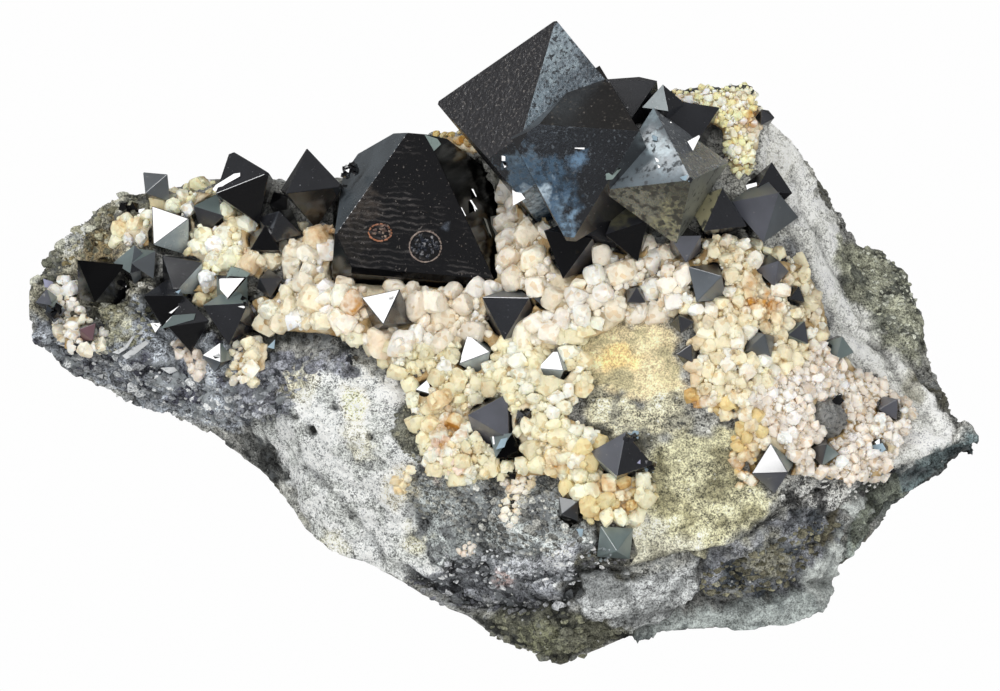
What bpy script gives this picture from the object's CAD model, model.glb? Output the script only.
"""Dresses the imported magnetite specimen: black octahedra and feldspar grains on broken schist.

Most places are given in millimetres on the specimen's display plane, which leans back 45 degrees
from upright: `across` runs to the right, `rise` up the plane and `out` towards the viewer. The
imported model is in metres, with the middle of its box's underside at the origin.
"""

import logging
import math
from dataclasses import dataclass, field
from enum import Enum

import bmesh
import bpy
import numpy as np
from mathutils import Matrix, Vector, noise
from mathutils.bvhtree import BVHTree


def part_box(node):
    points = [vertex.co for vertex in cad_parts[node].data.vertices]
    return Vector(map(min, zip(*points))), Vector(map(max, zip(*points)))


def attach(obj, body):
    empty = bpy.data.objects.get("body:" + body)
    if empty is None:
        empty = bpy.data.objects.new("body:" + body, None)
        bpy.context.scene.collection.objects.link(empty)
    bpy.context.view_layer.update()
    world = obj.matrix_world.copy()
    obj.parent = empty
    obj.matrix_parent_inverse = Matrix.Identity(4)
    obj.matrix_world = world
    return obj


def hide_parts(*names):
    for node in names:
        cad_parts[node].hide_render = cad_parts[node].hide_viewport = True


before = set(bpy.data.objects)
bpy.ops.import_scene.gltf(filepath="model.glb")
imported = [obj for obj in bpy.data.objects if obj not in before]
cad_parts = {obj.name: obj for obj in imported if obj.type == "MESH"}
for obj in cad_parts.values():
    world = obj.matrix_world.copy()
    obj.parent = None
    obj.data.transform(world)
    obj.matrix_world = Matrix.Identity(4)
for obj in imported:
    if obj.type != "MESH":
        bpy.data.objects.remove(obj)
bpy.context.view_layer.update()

LOG = logging.getLogger("specimen")

MM = 0.001
SIN = COS = math.sqrt(0.5)
DISPLAY = np.array(((1, 0, 0), (0, SIN, -COS), (0, COS, SIN)))  # columns: across, rise, out
OUT = DISPLAY[:, 2]
ORIGIN = np.array((0.144, 31.003, 0.0))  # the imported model's origin, before the display turn
LAYERS = np.array((0.10, -0.42, 0.90))  # the schist's layers lie across this direction
FAR = 200.0  # in front of everything, in millimetres
HALF = (0.5, 0.5, 0.5)
WHOLE = (0.2, 0.8)  # limits that hold nearly all of a noise
BREAK = (53.7, 91.3, 1.5)  # two factors that give a broken piece its own chances, and how far it leans
BREAK_EDGE = 0.12  # width of its edges, in pieces
WELD = 0.001  # corners this near to each other, in millimetres, are one
Socket = bpy.types.NodeSocket
Value = Socket | float | tuple  # what an input of a shader node takes
BODY = "root"
WIDEST = ("schist_matrix", "magnetite_crown", "magnetite_left_great")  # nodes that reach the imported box


class Slot(Enum):
    """The record's material slots."""

    SCHIST = "schist_matrix"
    FELDSPAR = "feldspar"
    MAGNETITE = "magnetite"


def linear(colour: str) -> tuple[float, float, float, float]:
    """Turns an sRGB hex colour into linear red, green, blue and alpha.

    Args:
        colour: six hex digits, with or without a hash sign.

    Returns:
        The colour in linear light.
    """
    digits = colour.lstrip("#")
    parts = [int(digits[i : i + 2], 16) / 255 for i in (0, 2, 4)]
    return (*(p / 12.92 if p <= 0.04045 else ((p + 0.055) / 1.055) ** 2.4 for p in parts), 1.0)


def to_display(points: np.ndarray) -> np.ndarray:
    """Turns packed-model points in metres into millimetres (across, rise, out)."""
    return (points / MM + ORIGIN) @ DISPLAY


def to_model(points: np.ndarray) -> np.ndarray:
    """Turns millimetres (across, rise, out) into packed-model points in metres."""
    return (np.asarray(points, float) @ DISPLAY.T - ORIGIN) * MM


def smooth_step(value: np.ndarray, low: float, high: float) -> np.ndarray:
    """0 below low, 1 above high, and an even S-curve between."""
    t = np.clip((value - low) / (high - low), 0.0, 1.0)
    return t * t * (3 - 2 * t)


def fractal(points: np.ndarray, size: float, octaves: int = 3, seed: float = 0.0) -> np.ndarray:
    """Layered noise at each point.

    Args:
        points: places in millimetres.
        size: width of the largest swellings, in millimetres.
        octaves: how many layers, each half as wide as the last.
        seed: shifts the pattern.

    Returns:
        One value for each point, about -1 to 1.
    """
    moved = points / size + seed
    return np.array([noise.fractal(Vector(p), 1.0, 2.0, octaves) for p in moved])


def fracture(points: np.ndarray, size: float, seed: float) -> tuple[np.ndarray, np.ndarray]:
    """Relief of broken stone: flat pieces, each with a lean and a level of its own.

    Args:
        points: places in millimetres.
        size: width of a piece in millimetres.
        seed: shifts the pattern.

    Returns:
        The height at each point, about -1 to 1, and how near the point is to an edge, 1 on it.
    """
    heights, edges = np.empty(len(points)), np.empty(len(points))
    half = Vector(HALF)
    lean_chance, level_chance, tilt = BREAK
    for number, place in enumerate(points / size + seed):
        spot = Vector(place)
        far, middles = noise.voronoi(spot)
        lean = noise.cell_vector(middles[0] * lean_chance) - half
        level = noise.cell(middles[0] * level_chance) - 0.5
        heights[number] = tilt * lean.dot(spot - middles[0]) + level
        edges[number] = far[1] - far[0]
    return heights, 1.0 - smooth_step(edges, 0.0, BREAK_EDGE)


def terraced(points: np.ndarray, step: float, wander: np.ndarray) -> np.ndarray:
    """Saw-toothed relief of broken layers.

    Args:
        points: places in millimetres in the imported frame.
        step: thickness of a layer in millimetres.
        wander: how far the layers are bent here, in millimetres.

    Returns:
        The height at each point, -0.5 to 0.5.
    """
    level = (points @ LAYERS + wander) / step
    return 0.5 - (level - np.floor(level))


def along(points: np.ndarray, path: tuple | np.ndarray) -> np.ndarray:
    """Distance of each display point from a broken line.

    Args:
        points: places as (across, rise).
        path: the line's corners, as across and rise by turns.

    Returns:
        One distance in millimetres for each point.
    """
    best = np.full(len(points), FAR)
    corners = np.reshape(path, (-1, 2))
    for start, end in zip(corners, corners[1:]):
        run = end - start
        share = np.clip(((points[:, :2] - start) @ run) / (run @ run), 0, 1)
        best = np.minimum(best, np.linalg.norm(points[:, :2] - start - share[:, None] * run, axis=1))
    return best


def depth_inside(points: np.ndarray, outline: tuple) -> np.ndarray:
    """How far each display point lies inside an outline.

    Args:
        points: places as (across, rise).
        outline: the outline's corners, as across and rise by turns.

    Returns:
        One depth in millimetres for each point, negative outside.
    """
    loop = np.reshape((*outline, *outline[:2]), (-1, 2))
    crossings = np.zeros(len(points), int)
    x, y = points[:, 0], points[:, 1]
    for (x0, y0), (x1, y1) in zip(loop, loop[1:]):
        if y0 != y1:
            crossings += ((y0 > y) != (y1 > y)) & (x < x0 + (y - y0) * (x1 - x0) / (y1 - y0))
    return np.where(crossings % 2 == 1, 1.0, -1.0) * along(points, loop)


def cast(tree: BVHTree, across: float, rise: float) -> tuple:
    """What shows of a tree's surface at a place: its point, normal, face number and distance."""
    return tree.ray_cast(Vector(to_model((across, rise, FAR))), Vector(-OUT))


def linked(name: str, data: bpy.types.ID) -> bpy.types.Object:
    """Adds an object to the scene.

    Args:
        name: its name.
        data: its mesh, lamp or camera.

    Returns:
        The object.
    """
    item = bpy.data.objects.new(name, data)
    bpy.context.scene.collection.objects.link(item)
    return item


def formed(name: str, form: bmesh.types.BMesh) -> bpy.types.Object:
    """Adds an object made of an edited shape.

    Args:
        name: its name.
        form: the shape, which is freed.

    Returns:
        The object.
    """
    mesh = bpy.data.meshes.new(name)
    form.to_mesh(mesh)
    form.free()
    return linked(name, mesh)


def add(
    tree: bpy.types.NodeTree, kind: str, inputs: tuple | dict = (), output: int | str = 0, **settings
) -> Socket | None:
    """Adds a shader node with its settings and links.

    Args:
        tree: the node tree.
        kind: the node's type, without ShaderNode in front.
        inputs: values or other nodes' outputs, in the sockets' order or by socket name or number.
        output: which of the node's outputs to give back.
        **settings: the node's own properties.

    Returns:
        That output, or None where the node has none.
    """
    node = tree.nodes.new(f"ShaderNode{kind}")
    for name, value in settings.items():
        setattr(node, name, value)
    for key, value in inputs.items() if isinstance(inputs, dict) else enumerate(inputs):
        if isinstance(value, Socket):
            tree.links.new(value, node.inputs[key])
        else:
            node.inputs[key].default_value = value
    return node.outputs[output] if node.outputs else None


def per_mm(size: float) -> float:
    """The scale of a texture whose features are `size` millimetres wide."""
    return 1.0 / (size * MM)


class Shading:
    """One node material in the making: the shared steps of every finish here."""

    def __init__(self, name: str) -> None:
        """Starts an empty material."""
        self.material = bpy.data.materials.new(name)
        self.material.use_nodes = True
        self.tree = self.material.node_tree
        self.tree.nodes.clear()
        self.place = self.add("TexCoord", (), "Object")

    def add(self, kind: str, inputs: tuple | dict = (), output: int | str = 0, **settings) -> Socket:
        """Adds a node to this material and gives one of its outputs."""
        return add(self.tree, kind, inputs, output, **settings)

    def mottle(self, size: float, low: float, high: float, detail: float = 3, shift: float = 0) -> Socket:
        """A cloudy mask.

        Args:
            size: width of the clouds in millimetres.
            low: the mask is 0 where the noise is below this.
            high: the mask is 1 where the noise is above this.
            detail: how many finer layers the noise has.
            shift: moves the clouds, so that two masks differ.

        Returns:
            The mask.
        """
        place = self.place
        if shift:
            place = self.add("VectorMath", (place, (shift,) * 3), operation="ADD")
        inputs = {"Vector": place, "Scale": per_mm(size), "Detail": detail, "Roughness": 0.6}
        return self.add("MapRange", (self.add("TexNoise", inputs, "Fac"), low, high))

    def where(self, *masks: Value) -> Value:
        """Joins masks into one that shows where all of them do.

        Args:
            *masks: values from 0 to 1.

        Returns:
            The joint mask.
        """
        shared = masks[0]
        for mask in masks[1:]:
            shared = self.add("Math", (shared, mask), operation="MULTIPLY")
        return shared

    def over(self, colour: Value, tint: str, *masks: Value, how: str = "MIX") -> Socket:
        """Lays a tint over a colour where all the masks show.

        Args:
            colour: the colour so far.
            tint: the tint, in six hex digits.
            *masks: values from 0 to 1.
            how: MIX to cover the colour, MULTIPLY to darken it.

        Returns:
            The new colour.
        """
        inputs = {0: self.where(*masks), 6: colour, 7: linear(tint)}
        return self.add("Mix", inputs, 2, data_type="RGBA", blend_type=how)

    def leaned(self, normal: Socket, chance: Socket, strength: Value) -> Socket:
        """Tilts a normal, so that each patch of a chance colour lies its own way.

        Args:
            normal: the normal so far.
            chance: a colour that differs from patch to patch.
            strength: how far the patches lean.

        Returns:
            The new normal.
        """
        lean = self.add("VectorMath", (chance, HALF), operation="SUBTRACT")
        tilt = self.add("VectorMath", {0: lean, "Scale": strength}, operation="SCALE")
        turned = self.add("VectorMath", (normal, tilt), operation="ADD")
        return self.add("VectorMath", (turned,), operation="NORMALIZE")

    def finish(self, **inputs) -> bpy.types.Material:
        """Ends the material in one Principled shader.

        Args:
            **inputs: the shader's inputs, with underscores for the spaces in their names.

        Returns:
            The material.
        """
        named = {name.replace("_", " "): value for name, value in inputs.items()}
        self.add("OutputMaterial", {"Surface": self.add("BsdfPrincipled", named)})
        return self.material


@dataclass(frozen=True)
class SchistFinish:
    """Broken mica schist: a salt-and-pepper grain with flashes of mica. It looks like dry stone."""

    # Each grain size's weight, and its width in millimetres, limits, detail and shift. The finest real
    # grains are half as wide: they are drawn coarser, so that they show.
    speckles: tuple = (
        (0.46, 0.20, 0.39, 0.61, 1, 0.2), (0.34, 0.62, 0.38, 0.62), (0.20, 2.4, 0.40, 0.60, 3, 0.05)
    )
    contrast: float = 2.5
    darkest: float = 0.18  # the least share of its tint that a grain keeps
    palest: tuple = (0.86, 0.86, 0.83)  # no grain is paler than this, in linear red, green and blue
    spot_mm: float = 0.45
    spot_edge: tuple = (0.42, 0.30)  # where a spot fades and where it is full, from its middle
    spot_clouds: tuple = (0.3, 0.42, 0.52, 1)  # width, limits, detail and shift, as for all clouds below
    salt: str = "e2e3de"
    salt_chance: tuple = (0.93, 0.94)
    salt_grit: tuple = (0.5, 1.2)
    pepper: str = "242524"
    pepper_chance: tuple = (0.18, 0.16)
    pepper_grit: tuple = (0.35, 1.0)
    pepper_clouds: tuple = (5.0, 0.36, 0.50, 3, 0.8)
    flake_mm: float = 0.75
    flake: str = "8f9496"
    flake_chance: tuple = (0.52, 0.60)
    flake_clouds: tuple = (3.0, 0.42, 0.60, 3, 0.7)
    flake_roughness: float = 0.24
    ripples: tuple = ((1.3, 5, 0.0, 0.22), (0.4, 3, 0.1, 0.12))  # width, detail, shift and depth
    chips: tuple = ((1.5, 0.55), (0.55, 0.45))  # width of the break's flat chips, and how far they lean
    chip_stretch: tuple = (0.6, 1.0, 1.3)
    chip_bend: tuple = (0.7, 0.9)  # width and depth of the bends in their edges, in chip widths
    ior: float = 1.55  # quartz and feldspar
    roughness: float = 0.80

    def build(self) -> bpy.types.Material:
        """Makes the material.

        Returns:
            The material, which reads the mesh's tint, grit, mica and roughness of break.
        """
        s = Shading("mica_schist_broken")
        tint = s.add("Attribute", (), "Color", attribute_name="tint")
        stored = ("grit", "mica", "rough")
        grit, mica, rough = (s.add("Attribute", (), "Fac", attribute_name=name) for name in stored)
        speckle = 0.0
        for weight, *clouds in self.speckles:
            speckle = s.add("Math", (s.mottle(*clouds), weight, speckle), operation="MULTIPLY_ADD")
        spread = s.where(s.add("Math", (speckle, 0.5), operation="SUBTRACT"), grit)
        gain = s.add("Math", (spread, self.contrast, 1.0), operation="MULTIPLY_ADD")
        gain = s.add("Math", (gain, self.darkest), operation="MAXIMUM")
        colour = s.add("VectorMath", {0: tint, "Scale": gain}, operation="SCALE")
        colour = s.add("VectorMath", (colour, self.palest), operation="MINIMUM")
        spots = s.add("TexVoronoi", {"Vector": s.place, "Scale": per_mm(self.spot_mm)}, "Color")
        pick = s.add("SeparateColor", (spots,), "Green")
        inside = s.add("MapRange", (spots.node.outputs["Distance"], *self.spot_edge))
        inside = s.where(inside, s.mottle(*self.spot_clouds))
        pale = s.where(s.add("MapRange", (pick, *self.salt_chance)), inside)
        colour = s.over(colour, self.salt, pale, s.add("MapRange", (grit, *self.salt_grit)))
        dark = s.where(s.add("MapRange", (pick, *self.pepper_chance)), s.mottle(*self.pepper_clouds))
        colour = s.over(colour, self.pepper, inside, dark, s.add("MapRange", (grit, *self.pepper_grit)))
        flakes = s.add("TexVoronoi", {"Vector": s.place, "Scale": per_mm(self.flake_mm)}, "Color")
        chance = s.add("MapRange", (s.add("SeparateColor", (flakes,), "Red"), *self.flake_chance))
        chosen = s.where(chance, mica, s.mottle(*self.flake_clouds))
        colour = s.over(colour, self.flake, chosen)
        inputs = {}
        for width, detail, shift, depth in self.ripples:
            inputs |= {"Height": s.mottle(width, *WHOLE, detail, shift), "Distance": depth * MM}
            inputs["Normal"] = s.add("Bump", inputs)
        normal = inputs["Normal"]
        for size, strength in self.chips:
            normal = s.leaned(normal, self.chip_colours(s, size), s.where(rough, strength))
        return s.finish(
            Base_Color=colour,
            Roughness=s.add("MapRange", (chosen, 0, 1, self.roughness, self.flake_roughness)),
            Normal=s.leaned(normal, flakes, chosen),
            IOR=self.ior,
        )

    def chip_colours(self, s: Shading, size: float) -> Socket:
        """Gives each flat chip of the break a chance colour.

        Args:
            s: the material in the making.
            size: the chips' width in millimetres.

        Returns:
            The colours.
        """
        width, depth = (share * size for share in self.chip_bend)
        bend = s.add("TexNoise", {"Vector": s.place, "Scale": per_mm(width)}, "Color")
        shove = s.add("VectorMath", {0: bend, "Scale": depth * MM}, operation="SCALE")
        bent = s.add("VectorMath", (s.place, shove), operation="ADD")
        long = s.add("VectorMath", (bent, self.chip_stretch), operation="MULTIPLY")
        return s.add("TexVoronoi", {"Vector": long, "Scale": per_mm(size)}, "Color")


@dataclass(frozen=True)
class FeldsparFinish:
    """Cream feldspar, grown in blocky grains: a waxy, slightly see-through white, stained by iron."""

    name: str = "feldspar_cream"
    mottle_mm: float = 1.2
    chip_mm: float = 0.55  # width of the cleaved chips on the grains
    chip_lean: float = 0.45
    chip_tint: str = "e6c48c"  # multiplies a quarter of the chips
    chip_chance: tuple = (0.75, 1.0)
    chip_cover: float = 0.5
    shades: tuple = (0.90, 1.06)  # what the mottling multiplies the tint by
    stain: str = "c98f3a"
    stain_clouds: tuple = (2.2, 0.40, 0.62, 3, 0.2)  # width, limits, detail and shift
    sheen_clouds: tuple = (0.9, 0.3, 0.7, 3, 0.4)
    sheen: tuple = (-0.1, 0.15)  # how far the roughness strays
    ripples: tuple = (0.5, *WHOLE, 4)
    ripple_depth: float = 0.08
    glow: float = 0.25  # the share of light that goes in and comes out again
    glow_mm: float = 0.9
    glow_reach: tuple = (1.0, 0.7, 0.45)  # of red, green and blue
    ior: float = 1.53
    roughness: float = 0.42

    def build(self) -> bpy.types.Material:
        """Makes the material.

        Returns:
            The material, which reads the mesh's tint and stain.
        """
        s = Shading(self.name)
        tint = s.add("Attribute", (), "Color", attribute_name="tint")
        stain = s.add("Attribute", (), "Fac", attribute_name="stain")
        cloud = s.add("MapRange", (s.mottle(self.mottle_mm, 0.3, 0.7), 0, 1, *self.shades))
        colour = s.add("VectorMath", {0: tint, "Scale": cloud}, operation="SCALE")
        colour = s.over(colour, self.stain, stain, s.mottle(*self.stain_clouds))
        chip = s.add("TexVoronoi", {"Vector": s.place, "Scale": per_mm(self.chip_mm)}, "Color")
        chosen = s.add("MapRange", (s.add("SeparateColor", (chip,), "Green"), *self.chip_chance))
        colour = s.over(colour, self.chip_tint, chosen, self.chip_cover, how="MULTIPLY")
        sheen = [self.roughness + stray for stray in self.sheen]
        ripples = {"Height": s.mottle(*self.ripples), "Distance": self.ripple_depth * MM}
        return s.finish(
            Base_Color=colour,
            Roughness=s.add("MapRange", (s.mottle(*self.sheen_clouds), 0, 1, *sheen)),
            Normal=s.leaned(s.add("Bump", ripples), chip, self.chip_lean),
            IOR=self.ior,
            Subsurface_Weight=self.glow,
            Subsurface_Radius=self.glow_reach,
            Subsurface_Scale=self.glow_mm * MM,
        )


@dataclass(frozen=True)
class MagnetiteFinish:
    """A face of magnetite: black iron oxide with a near-metallic gloss, clean or under a dull film.

    Sizes are in millimetres. `film` is the colour of the face's own tarnish, and `dust` a second
    colour that lies on it in specks or blotches.
    """

    film: str
    roughness: float
    wave: float = 0.02
    pit: float = 0.0
    pit_mm: float = 0.6
    dust: str = "8c8a84"
    dust_cover: float = 0.12
    dust_mm: float = 0.5
    lines: float = 0.0  # height of the lines of growth
    lines_mm: float = 0.34
    patches: tuple = ()  # (place, radius, colour) of each patch of another film
    ior: float = 2.42
    gloss: float = 0.5  # 0.5 is a bare face; less is a face under a thin dull crust
    soot: str = "0a0a0c"
    soot_clouds: tuple = (3.5, 0.35, 0.7, 4, 0.5)  # width, limits, detail and shift, as for all clouds below
    soot_cover: float = 0.35
    dust_limits: tuple = (0.72, 0.45, 0.08)  # with no dust, how much lower with full dust, and softness
    dust_dulls: float = 0.35
    wave_clouds: tuple = (7.0, *WHOLE, 1, 0.9)
    line_clouds: tuple = (5.0, 0.36, 0.56, 3, 0.6)
    line_turn: tuple = (math.radians(-45), 0.0, math.radians(4))
    line_bends: dict = field(default_factory=lambda: {"Distortion": 5.0, "Detail": 3.0, "Detail Scale": 1.2})
    line_scale: float = 6.3  # how much finer the lines' texture is than a cloudy one of the same scale
    worn: str = "5c5856"
    worn_height: tuple = (0.55, 0.95)
    worn_clouds: tuple = (1.2, 0.35, 0.6, 3, 0.3)
    worn_cover: float = 0.45
    patch_fray: tuple = (1.5, 2.6)  # the frays' width, and their reach in patch radii
    patch_clouds: tuple = (0.7, 0.38, 0.58)
    patch_cover: tuple = (0.25, 1.0)

    def build(self, name: str) -> bpy.types.Material:
        """Makes the material.

        Args:
            name: the finish's name.

        Returns:
            The material.
        """
        s = Shading(f"magnetite_{name}")
        colour = linear(self.film)
        for patch in self.patches:
            colour = self.patched(s, colour, *patch)
        colour = s.over(colour, self.soot, s.mottle(*self.soot_clouds), self.soot_cover)
        most, fall, softness = self.dust_limits
        edge = most - fall * self.dust_cover
        specks = s.mottle(self.dust_mm, edge, edge + softness, detail=5)
        colour = s.over(colour, self.dust, specks)
        dulled = min(1.0, self.roughness + self.dust_dulls)
        gloss = s.add("MapRange", (specks, 0, 1, self.roughness, dulled))
        waves = s.mottle(*self.wave_clouds)
        normal = s.add("Bump", {"Height": waves, "Distance": 3 * self.wave * MM})
        if self.pit:
            pits = s.mottle(self.pit_mm, 0.35, 0.65, detail=4)
            normal = s.add("Bump", {"Height": pits, "Distance": self.pit * MM, "Normal": normal})
        if self.lines:
            shown = s.where(self.growth_lines(s), s.mottle(*self.line_clouds))
            normal = s.add("Bump", {"Height": shown, "Distance": self.lines * MM, "Normal": normal})
            worn = s.add("MapRange", (shown, *self.worn_height))
            colour = s.over(colour, self.worn, worn, s.mottle(*self.worn_clouds), self.worn_cover)
        return s.finish(
            Base_Color=colour, Roughness=gloss, Normal=normal, IOR=self.ior, Specular_IOR_Level=self.gloss
        )

    def growth_lines(self, s: Shading) -> Socket:
        """Wavy lines that run nearly level across a face that grew by steps.

        Args:
            s: the material in the making.

        Returns:
            The lines, from 0 to 1.
        """
        laid = s.add("Mapping", {"Vector": s.place, "Rotation": self.line_turn})
        inputs = {"Vector": laid, "Scale": per_mm(self.lines_mm) / self.line_scale, **self.line_bends}
        return s.add("TexWave", inputs, "Fac", bands_direction="Y")

    def patched(self, s: Shading, colour: Value, place: tuple, radius: float, tint: str) -> Socket:
        """Lays a cloudy round patch of another colour over the film.

        Args:
            s: the material in the making.
            colour: the film so far.
            place: the patch's middle on the display plane.
            radius: how far it reaches, in millimetres.
            tint: its colour.

        Returns:
            The film with the patch.
        """
        width, reach = self.patch_fray
        cloud = s.add("TexNoise", {"Vector": s.place, "Scale": per_mm(width), "Detail": 5.0}, "Color")
        stray = s.add("VectorMath", (cloud, HALF), operation="SUBTRACT")
        shove = s.add("VectorMath", {0: stray, "Scale": reach * radius * MM}, operation="SCALE")
        ragged = s.add("VectorMath", (s.place, shove), operation="ADD")
        middle = tuple(to_model(np.array((*place, 0.0))))
        away = s.add("VectorMath", (ragged, middle), operation="SUBTRACT")
        side = s.add("VectorMath", (away, tuple(OUT)), operation="CROSS_PRODUCT")
        far = s.add("VectorMath", (side,), "Value", operation="LENGTH")
        near = s.add("MapRange", (far, radius * MM, radius * 0.5 * MM))
        thin = s.add("MapRange", (s.mottle(*self.patch_clouds), 0, 1, *self.patch_cover))
        return s.over(colour, tint, near, thin)


class Face(Enum):
    """The finishes that the crystals' faces show."""

    MIRROR = MagnetiteFinish("0c0c0e", 0.06, wave=0.003, dust_cover=0.0)
    MIRROR_WORN = MagnetiteFinish("0c0c0e", 0.06, wave=0.003, dust="33363a", dust_cover=0.36, dust_mm=1.4)
    BLACK = MagnetiteFinish("0f0f11", 0.12, dust_cover=0.10, dust="5a5a58")
    SATIN = MagnetiteFinish("1d1d20", 0.26, dust_cover=0.14, dust="6a6864")
    CHARCOAL = MagnetiteFinish("303136", 0.34, dust_cover=0.18, dust="77736b")
    DUSK = MagnetiteFinish("28292d", 0.17, dust_cover=0.14, dust="55565a")
    SOOT = MagnetiteFinish("0d0d0f", 0.16, dust_cover=0.10, dust="3c3c3e", gloss=0.25)
    JET = MagnetiteFinish("050506", 0.14, dust_cover=0.04, dust="2a2a2c", gloss=0.05)
    SLATE = MagnetiteFinish("50565b", 0.36, dust_cover=0.16)
    GREY = MagnetiteFinish("5c6368", 0.24, dust_cover=0.03)
    VIOLET = MagnetiteFinish("54565f", 0.34, dust_cover=0.16)
    TEAL = MagnetiteFinish("6d7b7a", 0.30, dust_cover=0.08)
    ICE = MagnetiteFinish("9aa4a6", 0.26, dust_cover=0.20, dust="5a5d5e", dust_mm=0.9)
    PALE_BLUE = MagnetiteFinish("a3bccb", 0.30, dust_cover=0.20, dust="6f8794")
    PALE_TEAL = MagnetiteFinish("879893", 0.30, dust_cover=0.30, dust="5c6b67")
    LILAC = MagnetiteFinish("a9aac6", 0.30, dust_cover=0.10, dust="7d7f98")
    SLIVER = MagnetiteFinish("85857c", 0.35, dust_cover=0.10, dust="5c5c56")
    CORRODED = MagnetiteFinish("8e8e8a", 0.42, pit=0.12, pit_mm=0.4, dust="4a4a4a", dust_cover=0.42)
    RIM = MagnetiteFinish("a08c80", 0.50, dust="5a4638", dust_cover=0.3)
    RIM_ORANGE = MagnetiteFinish("b06f48", 0.50, dust="6a4632", dust_cover=0.3)
    RED = MagnetiteFinish("633f47", 0.42, dust_cover=0.10)
    DRUSE = MagnetiteFinish(
        "2a303c", 0.16, pit=0.2, pit_mm=0.55, dust="8f8d90", dust_cover=0.42, dust_mm=0.45
    )
    DRUSE_PINK = MagnetiteFinish("6e544c", 0.30, pit=0.30, pit_mm=0.5, dust="b9a08c", dust_cover=0.5)
    GROWN = MagnetiteFinish(
        "101013", 0.16, lines=0.025, dust="57504a", dust_cover=0.22, dust_mm=0.4,
        patches=(
            ((-16.0, 53.4), 3.0, "453e38"), ((-17.0, 49.3), 3.0, "25221f"), ((-6.3, 50.9), 0.7, "5c6470"),
        ),
    )
    BROWN = MagnetiteFinish(
        "222023", 0.34, pit=0.07, pit_mm=0.7, dust="6e6862", dust_cover=0.30, dust_mm=0.38
    )
    BROWN_CLEAN = MagnetiteFinish("232120", 0.30, dust="5e574e", dust_cover=0.26)
    FROSTED = MagnetiteFinish(
        "7d8b96", 0.42, pit=0.16, pit_mm=0.5, dust="30363c", dust_cover=0.46, dust_mm=0.4,
        patches=(
            ((5.5, 69.9), 4.2, "a9bbc3"), ((4.4, 64.7), 3.6, "93a7b2"), ((6.9, 66.5), 3.0, "5d6a74"),
            ((11.5, 67.8), 3.6, "424b54"),
        ),
    )
    STEEL = MagnetiteFinish(
        "202226", 0.26, pit=0.04, dust="3c444c", dust_cover=0.30, dust_mm=0.4,
        patches=(
            ((2.5, 57.1), 3.0, "6d8496"), ((4.6, 55.6), 4.5, "3e586e"), ((8.9, 58.4), 1.4, "5f7d98"),
            ((6.2, 51.3), 2.8, "7f9db6"), ((5.2, 53.3), 2.6, "4a6680"), ((4.0, 53.6), 2.4, "c0d2de"),
        ),
    )
    FOG = MagnetiteFinish(
        "6d777d", 0.22, dust="3c4145", dust_cover=0.42, dust_mm=0.8, gloss=0.15,
        patches=(((18.2, 59.9), 2.0, "a9bcc4"), ((17.0, 63.9), 1.6, "8b999f"), ((19.4, 57.6), 2.0, "7f8d95"))
    )
    FOG_DARK = MagnetiteFinish("676b6f", 0.20, pit=0.05, dust="9a9d9e", dust_cover=0.30, dust_mm=0.6)
    MOSS = MagnetiteFinish(
        "3a3d38", 0.26, dust="1c1d1b", dust_cover=0.50, dust_mm=0.8,
        patches=(((19.7, 51.3), 3.0, "8a886a"), ((16.6, 53.3), 2.4, "62645d"))
    )
    MOSS_SIDE = MagnetiteFinish("6c6e66", 0.28, dust="2c2d2a", dust_cover=0.38, dust_mm=0.8)
    MOSS_PALE = MagnetiteFinish("b8b28c", 0.40, dust="3a3a32", dust_cover=0.42, dust_mm=0.9)
    FILMED = MagnetiteFinish(
        "34353a", 0.32, dust="5e5f63", dust_cover=0.3, dust_mm=1.2, patches=(((13.4, 52.5), 2.0, "6d6b52"),)
    )


@dataclass(frozen=True)
class Zone:
    """A part of the rock's face with a stone of its own.

    outline is across and rise by turns. tint and second are the stone's two colours, grit how strong its
    salt and pepper is, mica how much it flashes, rough how deeply it is broken, lift how far it
    stands out, and soft how wide its edge is.
    """

    name: str
    outline: tuple
    tint: str
    second: str
    grit: float = 0.8
    mica: float = 0.1
    rough: float = 0.8
    lift: float = 0.0
    soft: float = 1.0


@dataclass(frozen=True)
class Blot:
    """A ragged spot on the rock: a stain, or with a depth a hole, or with a negative depth a lump."""

    place: tuple
    radius: float
    tint: str
    strength: float = 0.85
    depth: float = 0.0


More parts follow.
